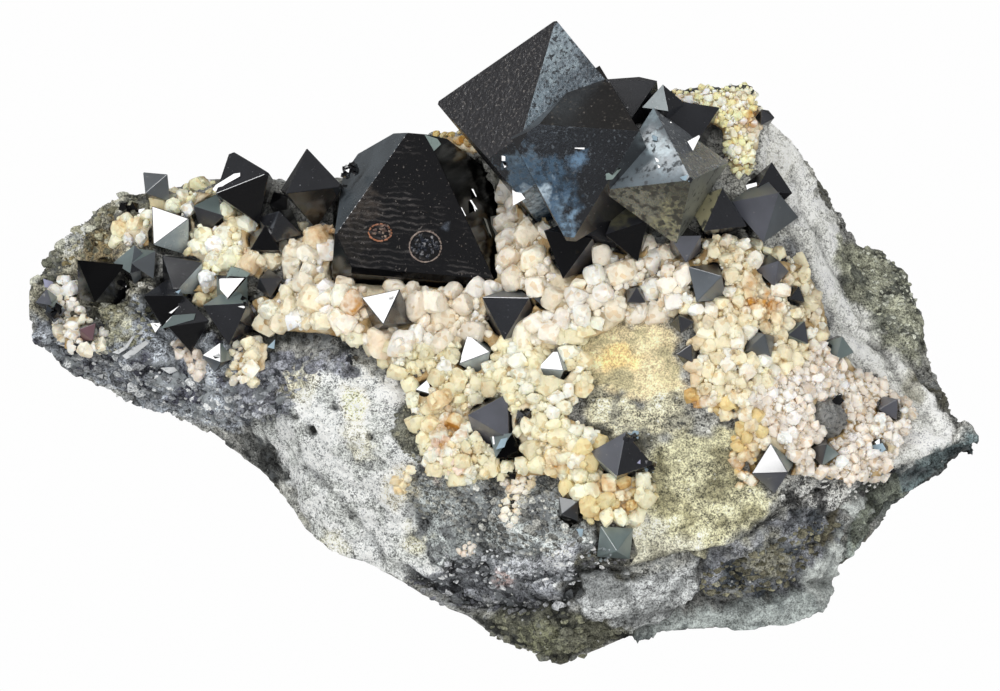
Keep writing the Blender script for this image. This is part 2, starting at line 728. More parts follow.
@dataclass
class SchistRock:
    """The rock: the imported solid, with its broken surface worked out to under half a millimetre."""

    node: str = "schist_matrix"
    voxel: float = 0.34
    smoothing: int = 5
    most_triangles: int = 192_000
    crease: float = 50.0  # degrees from which an edge is drawn sharp
    gain: float = 1.5  # makes up for the light that the broken surface loses in its own shade
    tint: str = "a3a39e"
    back_tints: tuple = (  # colour, limits and seed of the stains on the plain sides
        ("5f5d50", -0.05, 0.30, 3.3), ("b5b5ae", 0.05, 0.40, 8.8), ("3f403d", 0.15, 0.40, 14.1)
    )
    back_mm: float = 11.0
    back_look: dict = field(default_factory=lambda: {"grit": 0.9, "mica": 0.3, "rough": 0.75})
    foot: tuple = (0.3, 2.5)  # heights between which the relief sets in above the flat underside
    facing: tuple = (-0.1, 0.3)  # limits between the plain sides and the face that shows
    swell: float = 0.28
    zone_fray: tuple = (1.1, 1.4)  # how far fine and broad noise move a zone's edge
    blot_fray: tuple = (0.8, 0.45)  # how far middling and fine noise move a blot's edge
    blot_edge: tuple = (-0.25, 0.35)
    swells: tuple = ((7.0, 3, 0.0), (3.2, 4, 9.1), (1.9, 4, 5.3))  # width, layers and seed of the noises
    pieces: tuple = ((5.4, 0.0, 0.50), (2.3, 7.7, 0.34), (1.0, 3.1, 0.20))  # width, seed and depth
    piece_stretch: tuple = (0.62, 1.0, 1.25)
    layers: tuple = ((1.9, 0.34, 1.6), (0.7, 0.16, 1.2))  # thickness, depth and bend
    roughness_mm: float = 0.16
    crack_share: float = 0.35  # how much of a crack shows along each break
    crack_limits: tuple = (-0.1, 0.2)
    crack_depth: float = 0.16
    crack_shade: float = 0.5  # how much darker a crack is
    relief_shade: float = 0.6  # how much paler a raised spot is, and a hollow darker
    shades: tuple = (0.25, 1.6)  # the most that relief changes the tint
    zones: tuple = (
        Zone("arm_top", (-56.7, 56.1, -40.1, 57.3, -39.5, 46.8, -43.5, 42.4, -50.4, 39, -56.7, 40.1),
            "979484", "4f4e44", 1, 0.25, 1.1),
        Zone("arm_silver", (-56.7, 42.4, -49.3, 37.2, -42.4, 42.4, -27.3, 36.7, -29.8, 26.4, -43.5, 28.6,
            -56.7, 34.9), "969ba1", "41424b", 1, 1, 1.1),
        Zone("pale_flank", (-28.6, 30.7, -22.9, 33.7, -17.8, 36.7, -14.3, 34.1, -11.5, 30.9, -10.1, 26.4,
            -10.1, 21.8, -6.9, 13.1, -2.3, 8.3, -11.5, 9.6, -19.5, 12.6, -24.1, 19.5, -28.1, 25.2, -30.4,
            28.1), "d1d3d1", "acaeaa", 0.8, 0.12, 0.38),
        Zone("flank_edge", (-30.3, 28.1, -28, 26.4, -24.5, 21.5, -27.3, 20.6, -30.3, 25.2), "5f605d",
            "353634", 0.9, 0.3, 0.8),
        Zone("dark_ledge", (-30.4, 32.3, -26.4, 36.4, -22.9, 35.3, -17.8, 36.9, -17, 34.8, -22.9, 32.8,
            -23.9, 28.6, -30.7, 28.1), "82848c", "414449", 0.9, 0.7, 0.9, 0.5, 0.6),
        Zone("dark_middle", (-10.1, 22.9, -6.9, 24.6, 1.1, 22.9, 6.9, 22, 11.5, 14.9, 8, 13.5, 0, 8.9,
            -8, 11.7, -10.9, 17.2), "9fa4a2", "5a5c5c", 1, 0.5, 0.9, 0.5, 0.7),
        Zone("silver_band", (-3.9, 12.6, 8.4, 13.9, 8.7, 10.1, 0, 8.7, -4.1, 8.9), "aeb0b4", "64676b",
            1, 0.9, 0.6, 0.1, 0.6),
        Zone("dark_boulder", (-11.8, 29.6, -8.6, 30.7, -7.2, 27.5, -8.3, 25.2, -10.9, 26.4), "5d5d52",
            "34352f", 0.9, 0.1, 0.5, 0.6, 0.5),
        Zone("dark_rim", (-11.5, 10.9, -3.4, 12.4, 6.9, 9.4, 8.6, 8, 0, 6.6, -8, 7.8), "787a7e",
            "343538", 0.9, 0.4, 1),
        Zone("slab", (9.2, 11, 16, 11.9, 22.9, 12.6, 22.6, 8.9, 16.6, 4.8, 9.7, 5.5, 8.4, 8),
            "a4a6a5", "6b6d6c", 0.8, 0.1, 0.4, 0.9, 0.5),
        Zone("olive_tip", (-4, 6.6, 6.9, 7.6, 16, 4.4, 11.5, 1.1, 6.4, -1.1, -2.3, 3.4), "57574a",
            "292a26", 0.8, 0.1, 1),
        Zone("pale_ledge", (16, 4.8, 27.5, 8, 39, 10.3, 38.7, 4.6, 22.9, 2.9), "929895", "5d6362",
            0.6, 0, 0.5, 0.4, 0.6),
        Zone("olive_band", (22.3, 7.8, 23.4, 13.1, 34.4, 18.3, 40.1, 21.1, 40.1, 16, 37.8, 9.4, 27.5,
            8.4), "727478", "3e4348", 0.9, 0.3, 1),
        Zone("yellow_patch", (8.6, 36.7, 10.3, 39.5, 16, 40.1, 19.7, 39.5, 21.8, 30.9, 16, 30.7, 9.7,
            32.7), "ccbc96", "a79e7c", 0.45, 0, 0.35, 0.1, 1.4),
        Zone("grey_patch", (10, 32.7, 16, 30.7, 22.3, 32.3, 21.8, 26.9, 13.8, 26.9, 10.5, 29.8),
            "b8b399", "7c7a6c", 0.9, 0.1, 0.6),
        Zone("yellow_green", (17.8, 26.4, 26.9, 26.9, 28.6, 21.2, 30.4, 19.5, 26.9, 14.3, 17.2, 12.6, 16,
            19.5), "b9b595", "858165", 0.8, 0, 0.6, 0, 1.5),
        Zone("cream_low", (14.3, 16.6, 18.3, 18.3, 22.9, 14.3, 18.3, 12, 14.3, 12.6), "c2bfaa", "908d7b",
            0.7, 0, 0.6),
        Zone("flank_right", (30, 65.3, 34.4, 61.9, 40.1, 48.1, 45.8, 39, 52.9, 26.4, 49.3, 22.9, 43.5,
            20.4, 40.1, 21.8, 46.4, 26.4, 47.6, 29.8, 40.1, 34.9, 36.7, 43.5, 33.2, 52.7, 30.4, 58.4),
            "edede8", "c7c7c1", 0.6, 0.08, 0.32),
        Zone("knob", (39.3, 49.5, 46.4, 49.3, 51, 39, 49, 35.1, 44.7, 36.8, 40.1, 43.3), "888978",
            "54564d", 0.8, 0.1, 0.8, 0.2),
        Zone("speckled_right", (33.9, 22.9, 42.9, 23.1, 43.5, 19.5, 37.8, 18.1, 33.2, 19.5), "a4a4a0",
            "3d3d3c", 1.3, 0.2, 0.6),
        Zone("green_right", (40.9, 20.1, 45.8, 21.5, 45.8, 13.1, 40.1, 8, 37.8, 7.3), "828a84", "555b57",
            0.7, 0.1, 0.6),
        Zone("tip_right", (43.5, 19.5, 49.8, 25, 56.7, 28.1, 56.7, 22.3, 49.3, 20.6, 43.5, 17.4),
            "586465", "333b3d", 0.8, 0.2, 0.9),
        Zone("green_block", (41, 19.8, 43.5, 20.2, 46.1, 21.3, 45.5, 18.1, 44, 15.6, 42.2, 14.1, 39.9,
            12.8, 40.2, 14.9), "6c7165", "3d4138", 0.8, 0.1, 0.9, 0.1, 0.5),
        Zone("olive_hollow", (38, 17.2, 40.1, 18.6, 39.6, 16, 38.5, 14, 35.8, 12.6, 34.4, 13.1, 36.2,
            15.1), "4a4638", "2c2a22", 0.7, 0.1, 0.8, -0.3, 0.5),
        Zone("vein", (40.4, 19.6, 41.5, 19.6, 40.9, 17, 40.2, 14.9, 39.4, 13.1, 38.2, 10.5, 37.4, 7.1,
            35.1, 8.9, 34.9, 10.7, 36.2, 12.5, 38.7, 14.7, 39.5, 17.2), "abafab", "8d918e", 0.5, 0, 0.4,
            0.55, 0.4),
    )
    grooves: tuple = (  # width, depth and line of each crack, the line as across and rise by turns
        (0.8, 1.5, -11.5, 11.2, -7.8, 7.7, 1.7, 7.1, 7.1, 8.1, 8.3, 9.5),
        (0.6, 1.3, 3.9, 10.8, 9.4, 11.2, 14.9, 11.9, 22.6, 13.4, 26.8, 14.1, 30.6, 17.3, 33.2, 19.4, 41,
            22.2, 48.1, 24.1),
        (0.8, 0.9, -50.4, 37.2, -44.7, 34.1, -36.7, 32.8, -29.8, 30.9, -22.9, 33),
        (0.7, 1.1, 16, 4.6, 22.9, 7.3, 29.8, 8, 39, 10.5),
        (0.5, 1.2, -30.9, 28.5, -27.5, 28.2, -23.9, 29),
        (0.6, 0.5, 33.2, 58.4, 37.8, 48.1, 43.5, 37.8, 50.4, 27.5),
        (0.7, 0.7, 31.2, 59.6, 33.2, 52.7, 36.9, 43, 40.1, 36.7, 43.5, 32.7),
        (0.7, 1, 36.7, 43.5, 41.5, 38.7, 45.8, 36.4, 49.8, 34.1),
        (0.7, 1, 41.3, 19.5, 46.4, 23.1, 51.6, 25),
        (0.5, 0.6, -10.9, 17.2, -10.1, 21.8, -6.9, 24.6),
        (0.6, 0.9, 22.9, 12.6, 23.6, 9.2, 21.8, 7.6),
        (0.4, 0.5, 17.2, 6.6, 22.9, 7.6, 28.6, 6.6),
        (0.5, 0.4, -22.9, 22.9, -18.3, 19.5, -13.8, 12.6),
        (0.6, 0.8, -43.5, 42.4, -40.1, 39, -34.4, 36.4),
    )
    blots: tuple = (
        Blot((-15.7, 25.4), 2.4, "cfc9ac", 0.5), Blot((-22.9, 32.7), 2, "cfc8a8", 0.5),
        Blot((-11.5, 20.6), 1.8, "dccfae", 0.6), Blot((-20.5, 13.5), 2.6, "cbc6a6", 0.5),
        Blot((-10, 14.3), 1.6, "d8d2ae", 0.6), Blot((-12.4, 32), 1.6, "e2e2de"),
        Blot((-16.6, 30.7), 1.5, "e8d9b0"), Blot((-14.8, 26.8), 0.7, "1c1c1a", 1, 0.8),
        Blot((-22, 27.2), 0.6, "1c1c1a", 1, 0.7), Blot((-19.4, 30.4), 0.5, "1c1c1a", 1, 0.5),
        Blot((-7.9, 28.1), 0.9, "6a4a30", 0.9, -0.3), Blot((1.1, 19), 0.8, "1a1a18", 1, 0.9),
        Blot((8.1, 17.8), 1, "1a1a18", 1, 0.9), Blot((2.3, 19.5), 1.2, "d9cdb0", 0.8, -0.3),
        Blot((-7.2, 24.1), 1.8, "d9bba8", 0.8), Blot((0, 10.5), 1.2, "b09a94", 0.7),
        Blot((-46.9, 48.5), 2.6, "6b5c3c", 0.75), Blot((-50.4, 50.2), 2, "b3b5b2", 0.7),
        Blot((-44.9, 40.6), 2.2, "8a866a", 0.7), Blot((18.3, 53.3), 1.5, "9a957c", 0.5),
        Blot((36.7, 28.6), 2.2, "6a6b69", 0.9, -0.5), Blot((32.4, 52.4), 1.8, "58595c", 0.6),
        Blot((34, 48.4), 1.7, "66676a", 0.6), Blot((35.6, 44.8), 1.5, "5a5b5e", 0.55),
        Blot((38.2, 40.6), 1.3, "5e5f61", 0.5), Blot((47.6, 32.6), 1.6, "5d5a48", 0.7),
        Blot((13.6, 35.8), 2, "d2ab64", 0.5), Blot((32.7, 59.6), 2.4, "cfcdc4", 0.6),
        Blot((4.6, 3.4), 2.4, "73745c", 0.6), Blot((30.9, 12.6), 2.6, "7d7a66", 0.6),
        Blot((43.5, 45.8), 2.4, "969784", 0.6),
    )

    def build(self) -> bpy.types.Object:
        """Makes the rock and its colours.

        Returns:
            The rock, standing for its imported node.
        """
        rock = remeshed("schist_rock", self.node, self.voxel, self.smoothing)
        points, normals = vertex_arrays(rock.data)
        look = self.surface(points, normals)
        steep = smooth_step(points[:, 2] / MM, *self.foot)
        points = points + normals * (look["raised"] * steep * MM)[:, None]
        keep_inside(points, *frame_box(self.node))
        rock.data.vertices.foreach_set("co", points.ravel())
        paint(rock.data, look["tint"], grit=look["grit"], mica=look["mica"], rough=look["rough"])
        rock.data.update()
        triangles = sum(len(face.vertices) - 2 for face in rock.data.polygons)
        if triangles > self.most_triangles:
            thin = rock.modifiers.new("fewer_faces", "DECIMATE")
            thin.ratio = self.most_triangles / triangles
            applied(rock)
        rock.data.shade_smooth()
        rock.data.set_sharp_from_angle(angle=math.radians(self.crease))
        rock.data.materials.append(SchistFinish().build())
        return placed(rock, Slot.SCHIST, self.node)

    def surface(self, points: np.ndarray, normals: np.ndarray) -> dict:
        """Works out the rock's relief and stone at each point.

        Args:
            points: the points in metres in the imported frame.
            normals: their outward normals.

        Returns:
            By name, how far each point is raised, and its tint, grit, mica and roughness of break.
        """
        shown, solid = to_display(points), points / MM
        facing = smooth_step(normals @ OUT, *self.facing)
        broad, mid, fine = (fractal(solid, *swell) for swell in self.swells)
        patchy = smooth_step(mid + 0.25 * fine, -0.05, 0.30)
        tint = np.tile(linear(self.tint)[:3], (len(shown), 1))
        for colour, low, high, shift in self.back_tints:
            share = smooth_step(fractal(solid, self.back_mm, 4, shift) + 0.2 * fine, low, high)
            tint += (np.array(linear(colour)[:3]) - tint) * share[:, None]
        look = {name: np.full(len(shown), value) for name, value in self.back_look.items()}
        look |= {"raised": self.swell * broad, "tint": tint}
        for zone in self.zones:
            edge = self.zone_fray[0] * fine + self.zone_fray[1] * broad
            ragged = depth_inside(shown, zone.outline) + edge
            share = smooth_step(ragged, -zone.soft / 2, zone.soft / 2) * facing
            colours = (zone.tint, zone.second)
            first, second = (self.gain * np.array(linear(colour)[:3]) for colour in colours)
            stone = first + (second - first) * patchy[:, None]
            look["tint"] += (stone - look["tint"]) * share[:, None]
            for name in self.back_look:
                look[name] += (getattr(zone, name) - look[name]) * share
            look["raised"] += zone.lift * share
        self.break_up(look, solid, broad, fine)
        for width, depth, *path in self.grooves:
            deep = facing * np.exp(-(((along(shown, path) + 0.5 * fine) / width) ** 2))
            look["raised"] -= depth * deep
            look["tint"] *= (1 - 0.5 * deep)[:, None]
        for blot in self.blots:
            away = np.hypot(*(shown[:, :2] - blot.place).T) / blot.radius
            ragged = 1 - away - self.blot_fray[0] * mid - self.blot_fray[1] * fine
            share = smooth_step(ragged, *self.blot_edge) * facing
            stone = self.gain * np.array(linear(blot.tint)[:3])
            look["tint"] += (stone - look["tint"]) * (blot.strength * share)[:, None]
            look["raised"] -= blot.depth * share
        return look

    def break_up(self, look: dict, solid: np.ndarray, broad: np.ndarray, fine: np.ndarray) -> None:
        """Breaks the surface into tilted pieces and layers, with darker hollows and paler edges.

        Args:
            look: the relief and tint at each point, which this changes.
            solid: the points in millimetres.
            broad: broad noise at each point.
            fine: fine noise at each point.
        """
        relief, cracks = np.zeros(len(solid)), np.zeros(len(solid))
        for width, seed, depth in self.pieces:
            height, edge = fracture(solid * self.piece_stretch, width, seed)
            relief += depth * height
            cracks += self.crack_share * edge * smooth_step(fine + broad, *self.crack_limits)
        for step, depth, bend in self.layers:
            relief += depth * terraced(solid, step, bend * broad + 0.3 * fine)
        relief += self.roughness_mm * fine
        look["raised"] += look["rough"] * (relief - self.crack_depth * cracks)
        shade = self.relief_shade * np.clip(relief, -0.8, 0.8) - self.crack_shade * cracks
        shade = 1 + look["rough"] * shade
        look["tint"] *= np.clip(shade, *self.shades)[:, None]


def remeshed(name: str, node: str, voxel: float, smoothing: int) -> bpy.types.Object:
    """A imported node's shape, remade with even small faces and no material.

    Args:
        name: the new piece's name.
        node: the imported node.
        voxel: the new faces' width in millimetres.
        smoothing: how many times the faces are evened out.

    Returns:
        The new piece.
    """
    form = bmesh.new()
    form.from_mesh(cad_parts[node].data)
    bmesh.ops.remove_doubles(form, verts=form.verts, dist=WELD * MM)
    piece = formed(name, form)
    remesh = piece.modifiers.new("even_faces", "REMESH")
    remesh.mode = "VOXEL"
    remesh.voxel_size = voxel * MM
    soften = piece.modifiers.new("soften", "SMOOTH")
    soften.iterations = smoothing
    applied(piece).data.materials.clear()
    return piece


def applied(piece: bpy.types.Object) -> bpy.types.Object:
    """Makes a piece's modifiers part of its mesh.

    Args:
        piece: the piece.

    Returns:
        The same piece.
    """
    graph = bpy.context.evaluated_depsgraph_get()
    mesh = bpy.data.meshes.new_from_object(piece.evaluated_get(graph))
    piece.modifiers.clear()
    piece.data = mesh
    return piece


def vertex_arrays(mesh: bpy.types.Mesh) -> tuple[np.ndarray, np.ndarray]:
    """Reads a mesh's points and outward normals.

    Args:
        mesh: the mesh.

    Returns:
        Both, with one row for each point.
    """
    points = np.zeros(len(mesh.vertices) * 3)
    normals = np.zeros(len(mesh.vertices) * 3)
    mesh.vertices.foreach_get("co", points)
    mesh.vertex_normals.foreach_get("vector", normals)
    return points.reshape(-1, 3), normals.reshape(-1, 3)


def frame_box(*nodes: str) -> tuple[np.ndarray, np.ndarray]:
    """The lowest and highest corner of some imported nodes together."""
    boxes = [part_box(node) for node in nodes]
    return np.min([low for low, _ in boxes], axis=0), np.max([high for _, high in boxes], axis=0)


def keep_inside(points: np.ndarray, low: np.ndarray, high: np.ndarray) -> None:
    """Moves points that lie outside a box onto its sides."""
    np.clip(points, low, high, out=points)


def paint(mesh: bpy.types.Mesh, tint: np.ndarray, **values: np.ndarray) -> None:
    """Stores a colour and named values at a mesh's points.

    Args:
        mesh: the mesh.
        tint: linear red, green and blue at each point.
        **values: one number at each point, by name.
    """
    colour = mesh.attributes.new("tint", "FLOAT_COLOR", "POINT")
    full = np.column_stack((np.clip(tint, 0.0, 1.0), np.ones(len(tint))))
    colour.data.foreach_set("color", full.astype(np.float32).ravel())
    for name, value in values.items():
        mesh.attributes.new(name, "FLOAT", "POINT").data.foreach_set("value", value.astype(np.float32))


def placed(piece: bpy.types.Object, slot: Slot, *nodes: str) -> bpy.types.Object:
    """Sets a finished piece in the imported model.

    Args:
        piece: the piece.
        slot: the material slot it takes its finish from.
        *nodes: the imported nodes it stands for.

    Returns:
        The piece.
    """
    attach(piece, BODY)
    if nodes:
        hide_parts(*nodes)
    LOG.info("%s: %d faces", piece.name, len(piece.data.polygons))
    return piece


def mesh_piece(name: str, points: np.ndarray, faces: np.ndarray) -> bpy.types.Object:
    """Adds a smooth object.

    Args:
        name: its name.
        points: its points in metres.
        faces: the numbers of each face's points.

    Returns:
        The object.
    """
    mesh = bpy.data.meshes.new(name)
    mesh.from_pydata([tuple(p) for p in points], [], [tuple(int(i) for i in f) for f in faces])
    mesh.shade_smooth()
    return linked(name, mesh)


@dataclass(frozen=True)
class Ball:
    """An even ball of small triangles, as points on a sphere of radius 1 and their faces."""

    points: np.ndarray
    faces: np.ndarray

    @classmethod
    def of(cls, subdivisions: int) -> "Ball":
        """Makes a ball.

        Args:
            subdivisions: how many times its faces are split.

        Returns:
            The ball.
        """
        form = bmesh.new()
        bmesh.ops.create_icosphere(form, subdivisions=subdivisions, radius=1.0)
        form.verts.ensure_lookup_table()
        points = np.array([v.co for v in form.verts])
        faces = np.array([[v.index for v in f.verts] for f in form.faces])
        form.free()
        return cls(points, faces)


@dataclass
class Sight:
    """Finds what shows along the display direction."""

    ground: BVHTree
    crystals: BVHTree

    @classmethod
    def over(cls, ground: list, crystals: list) -> "Sight":
        """Takes the pieces that carry grains, and those that must stay clear of them."""
        return cls(tree_of(ground), tree_of(crystals))

    def look(self, across: float, rise: float) -> np.ndarray | None:
        """Finds the ground at a place.

        Args:
            across: the place's distance to the right.
            rise: its height up the plane.

        Returns:
            The ground's point as (across, rise, out), or None where a crystal or nothing shows.
        """
        point, _, _, distance = cast(self.ground, across, rise)
        nearer = cast(self.crystals, across, rise)[3]
        if point is None or (nearer is not None and nearer < distance):
            return None
        return to_display(np.array(point))

    def front(self, across: float, rise: float) -> np.ndarray | None:
        """Finds what shows at a place, ground or crystal.

        Args:
            across: the place's distance to the right.
            rise: its height up the plane.

        Returns:
            The point as (across, rise, out), or None where nothing shows.
        """
        hits = [cast(tree, across, rise)[0] for tree in (self.ground, self.crystals)]
        points = [to_display(np.array(point)) for point in hits if point is not None]
        return max(points, key=lambda point: point[2], default=None)

    def clearance(self, spot: np.ndarray) -> float:
        """Distance in millimetres from a display point to the nearest crystal."""
        return self.crystals.find_nearest(Vector(to_model(spot)))[3] / MM


def tree_of(pieces: list) -> BVHTree:
    """Makes one search tree over the meshes of several pieces.

    Args:
        pieces: the pieces.

    Returns:
        The tree.
    """
    points, faces = [], []
    for piece in pieces:
        start = len(points)
        points += [v.co.copy() for v in piece.data.vertices]
        faces += [[i + start for i in p.vertices] for p in piece.data.polygons]
    return BVHTree.FromPolygons(points, faces)


@dataclass(frozen=True)
class GrainField:
    """A part of the feldspar crust: an outline filled with grains of several sizes.

    outline is across and rise by turns. sizes are the grains' radii, smallest and largest by turns
    for each round of placing, the large ones first. tints are the grains' colours, and stain how
    much iron lies on them.
    """

    name: str
    outline: tuple
    sizes: tuple
    tints: tuple = ("efe6d2", "f5efe2", "e6dcc4", "eadfc6")
    stain: float = 0.25
    closeness: float = 0.68
    sink: float = 0.2
    loose: float = 0.5  # how far grains stand above the bed, in radii
    sharpness: float = 26.0  # how narrow a grain's worn edges are
    glow: tuple = (1.0, 1.0, 1.0)  # what the field's tints are multiplied by
    knobs: int = 2  # the most small grains grown on each large one


@dataclass
class Grains:
    """Grains strewn over the rock or a bed: turned blocks with worn corners."""

    sight: Sight
    seed: int = 7
    balls: tuple = field(  # the ball that grains from each radius are made of
        default_factory=lambda: ((0.0, Ball.of(1)), (0.42, Ball.of(2)), (1.25, Ball.of(3)))
    )
    tries_per_mm2: float = 9.0
    knobs_above: float = 0.55  # radius from which a grain carries smaller ones
    crease: float = 28.0  # degrees from which an edge is drawn sharp
    clear: tuple = (0.35, 0.5)  # how far grains and their knobs stay from crystals, in radii
    knob_sizes: tuple = (0.22, 0.5)  # in radii of the grain that carries them
    knob_reach: float = 0.92  # how far out they sit, in the same radii
    knob_rise: float = 0.8  # how much more of them sit in front than behind
    planes: int = 5  # how many cuts a block has besides its six sides
    reach: tuple = (0.62, 1.0)
    stretch: tuple = (0.85, 1.12)
    fullness: float = 1.12

    def spots(self, area: GrainField, rng: np.random.Generator) -> list[tuple]:
        """Throws grains on a field until they lie close together.

        Args:
            area: the field.
            rng: the source of chance.

        Returns:
            Each grain's (across, rise, radius).
        """
        outline = np.reshape(area.outline, (-1, 2))
        low, high = outline.min(axis=0), outline.max(axis=0)
        taken = []
        middles, radii = np.zeros((0, 2)), np.zeros(0)
        for smallest, largest in np.reshape(area.sizes, (-1, 2)):
            throws = int(self.tries_per_mm2 * np.prod(high - low) / smallest)
            places = rng.uniform(low, high, (throws, 2))
            places = places[depth_inside(places, area.outline) > 0]
            for place in places:
                radius = rng.uniform(smallest, largest)
                if (np.hypot(*(middles - place).T) < area.closeness * (radii + radius)).any():
                    continue
                middles, radii = np.vstack((middles, place)), np.append(radii, radius)
                taken.append((*place, radius))
        return taken

    def blocks(self, area: GrainField, rng: np.random.Generator) -> list[tuple]:
        """Sets a field's grains on the ground, with their knobs.

        Args:
            area: the field.
            rng: the source of chance.

        Returns:
            Each block's (middle, radius, number of the grain it belongs to).
        """
        blocks = []
        for number, (across, rise, radius) in enumerate(self.spots(area, rng)):
            height = radius * (rng.uniform(0, area.loose) - area.sink)
            seen = self.sight.look(across, rise)
            if seen is None:
                continue
            middle = seen + np.array((0, 0, height))
            if self.sight.clearance(middle) < self.clear[0] * radius:
                continue
            blocks.append((middle, radius, number))
            if radius < self.knobs_above:
                continue
            for _ in range(rng.integers(area.knobs + 1)):
                way = rng.normal(size=3) + np.array((0, 0, self.knob_rise))
                small = radius * rng.uniform(*self.knob_sizes)
                spot = middle + self.knob_reach * radius * way / np.linalg.norm(way)
                if self.sight.clearance(spot) > self.clear[1] * small:
                    blocks.append((spot, small, number))
        return blocks

    def shape(self, radius: float, sharpness: float, rng: np.random.Generator) -> tuple:
        """One grain round the origin: a turned block with worn corners.

        Args:
            radius: the grain's radius in millimetres.
            sharpness: how narrow its worn edges are.
            rng: the source of chance.

        Returns:
            The grain's points, in (across, rise, out), and its faces.
        """
        ball = [ball for least, ball in self.balls if radius >= least][-1]
        turn, _ = np.linalg.qr(rng.normal(size=(3, 3)))
        normals = np.vstack((turn, -turn, rng.normal(size=(self.planes, 3))))
        normals /= np.linalg.norm(normals, axis=1)[:, None]
        reach = rng.uniform(*self.reach, len(normals))
        lean = np.maximum(ball.points @ normals.T / reach, 0.0)
        far = (lean**sharpness).sum(axis=1) ** (-1 / sharpness)
        stretch = turn @ np.diag(rng.uniform(*self.stretch, 3)) @ turn.T
        return (ball.points * far[:, None]) @ stretch * radius * self.fullness, ball.faces

    def joined(self, name: str, shapes: list, smooth: bool = True) -> bpy.types.Object:
        """Joins many grains as one object.

        Args:
            name: the object's name.
            shapes: each grain's points in (across, rise, out), and its faces.
            smooth: whether worn edges are shaded round.

        Returns:
            The object.
        """
        starts = np.cumsum([0] + [len(points) for points, _ in shapes[:-1]])
        points = np.vstack([to_model(points) for points, _ in shapes])
        keep_inside(points, *frame_box(*WIDEST))
        faces = np.vstack([faces + start for (_, faces), start in zip(shapes, starts)])
        piece = mesh_piece(name, points, faces)
        piece.data.set_sharp_from_angle(angle=math.radians(self.crease if smooth else 1.0))
        return piece


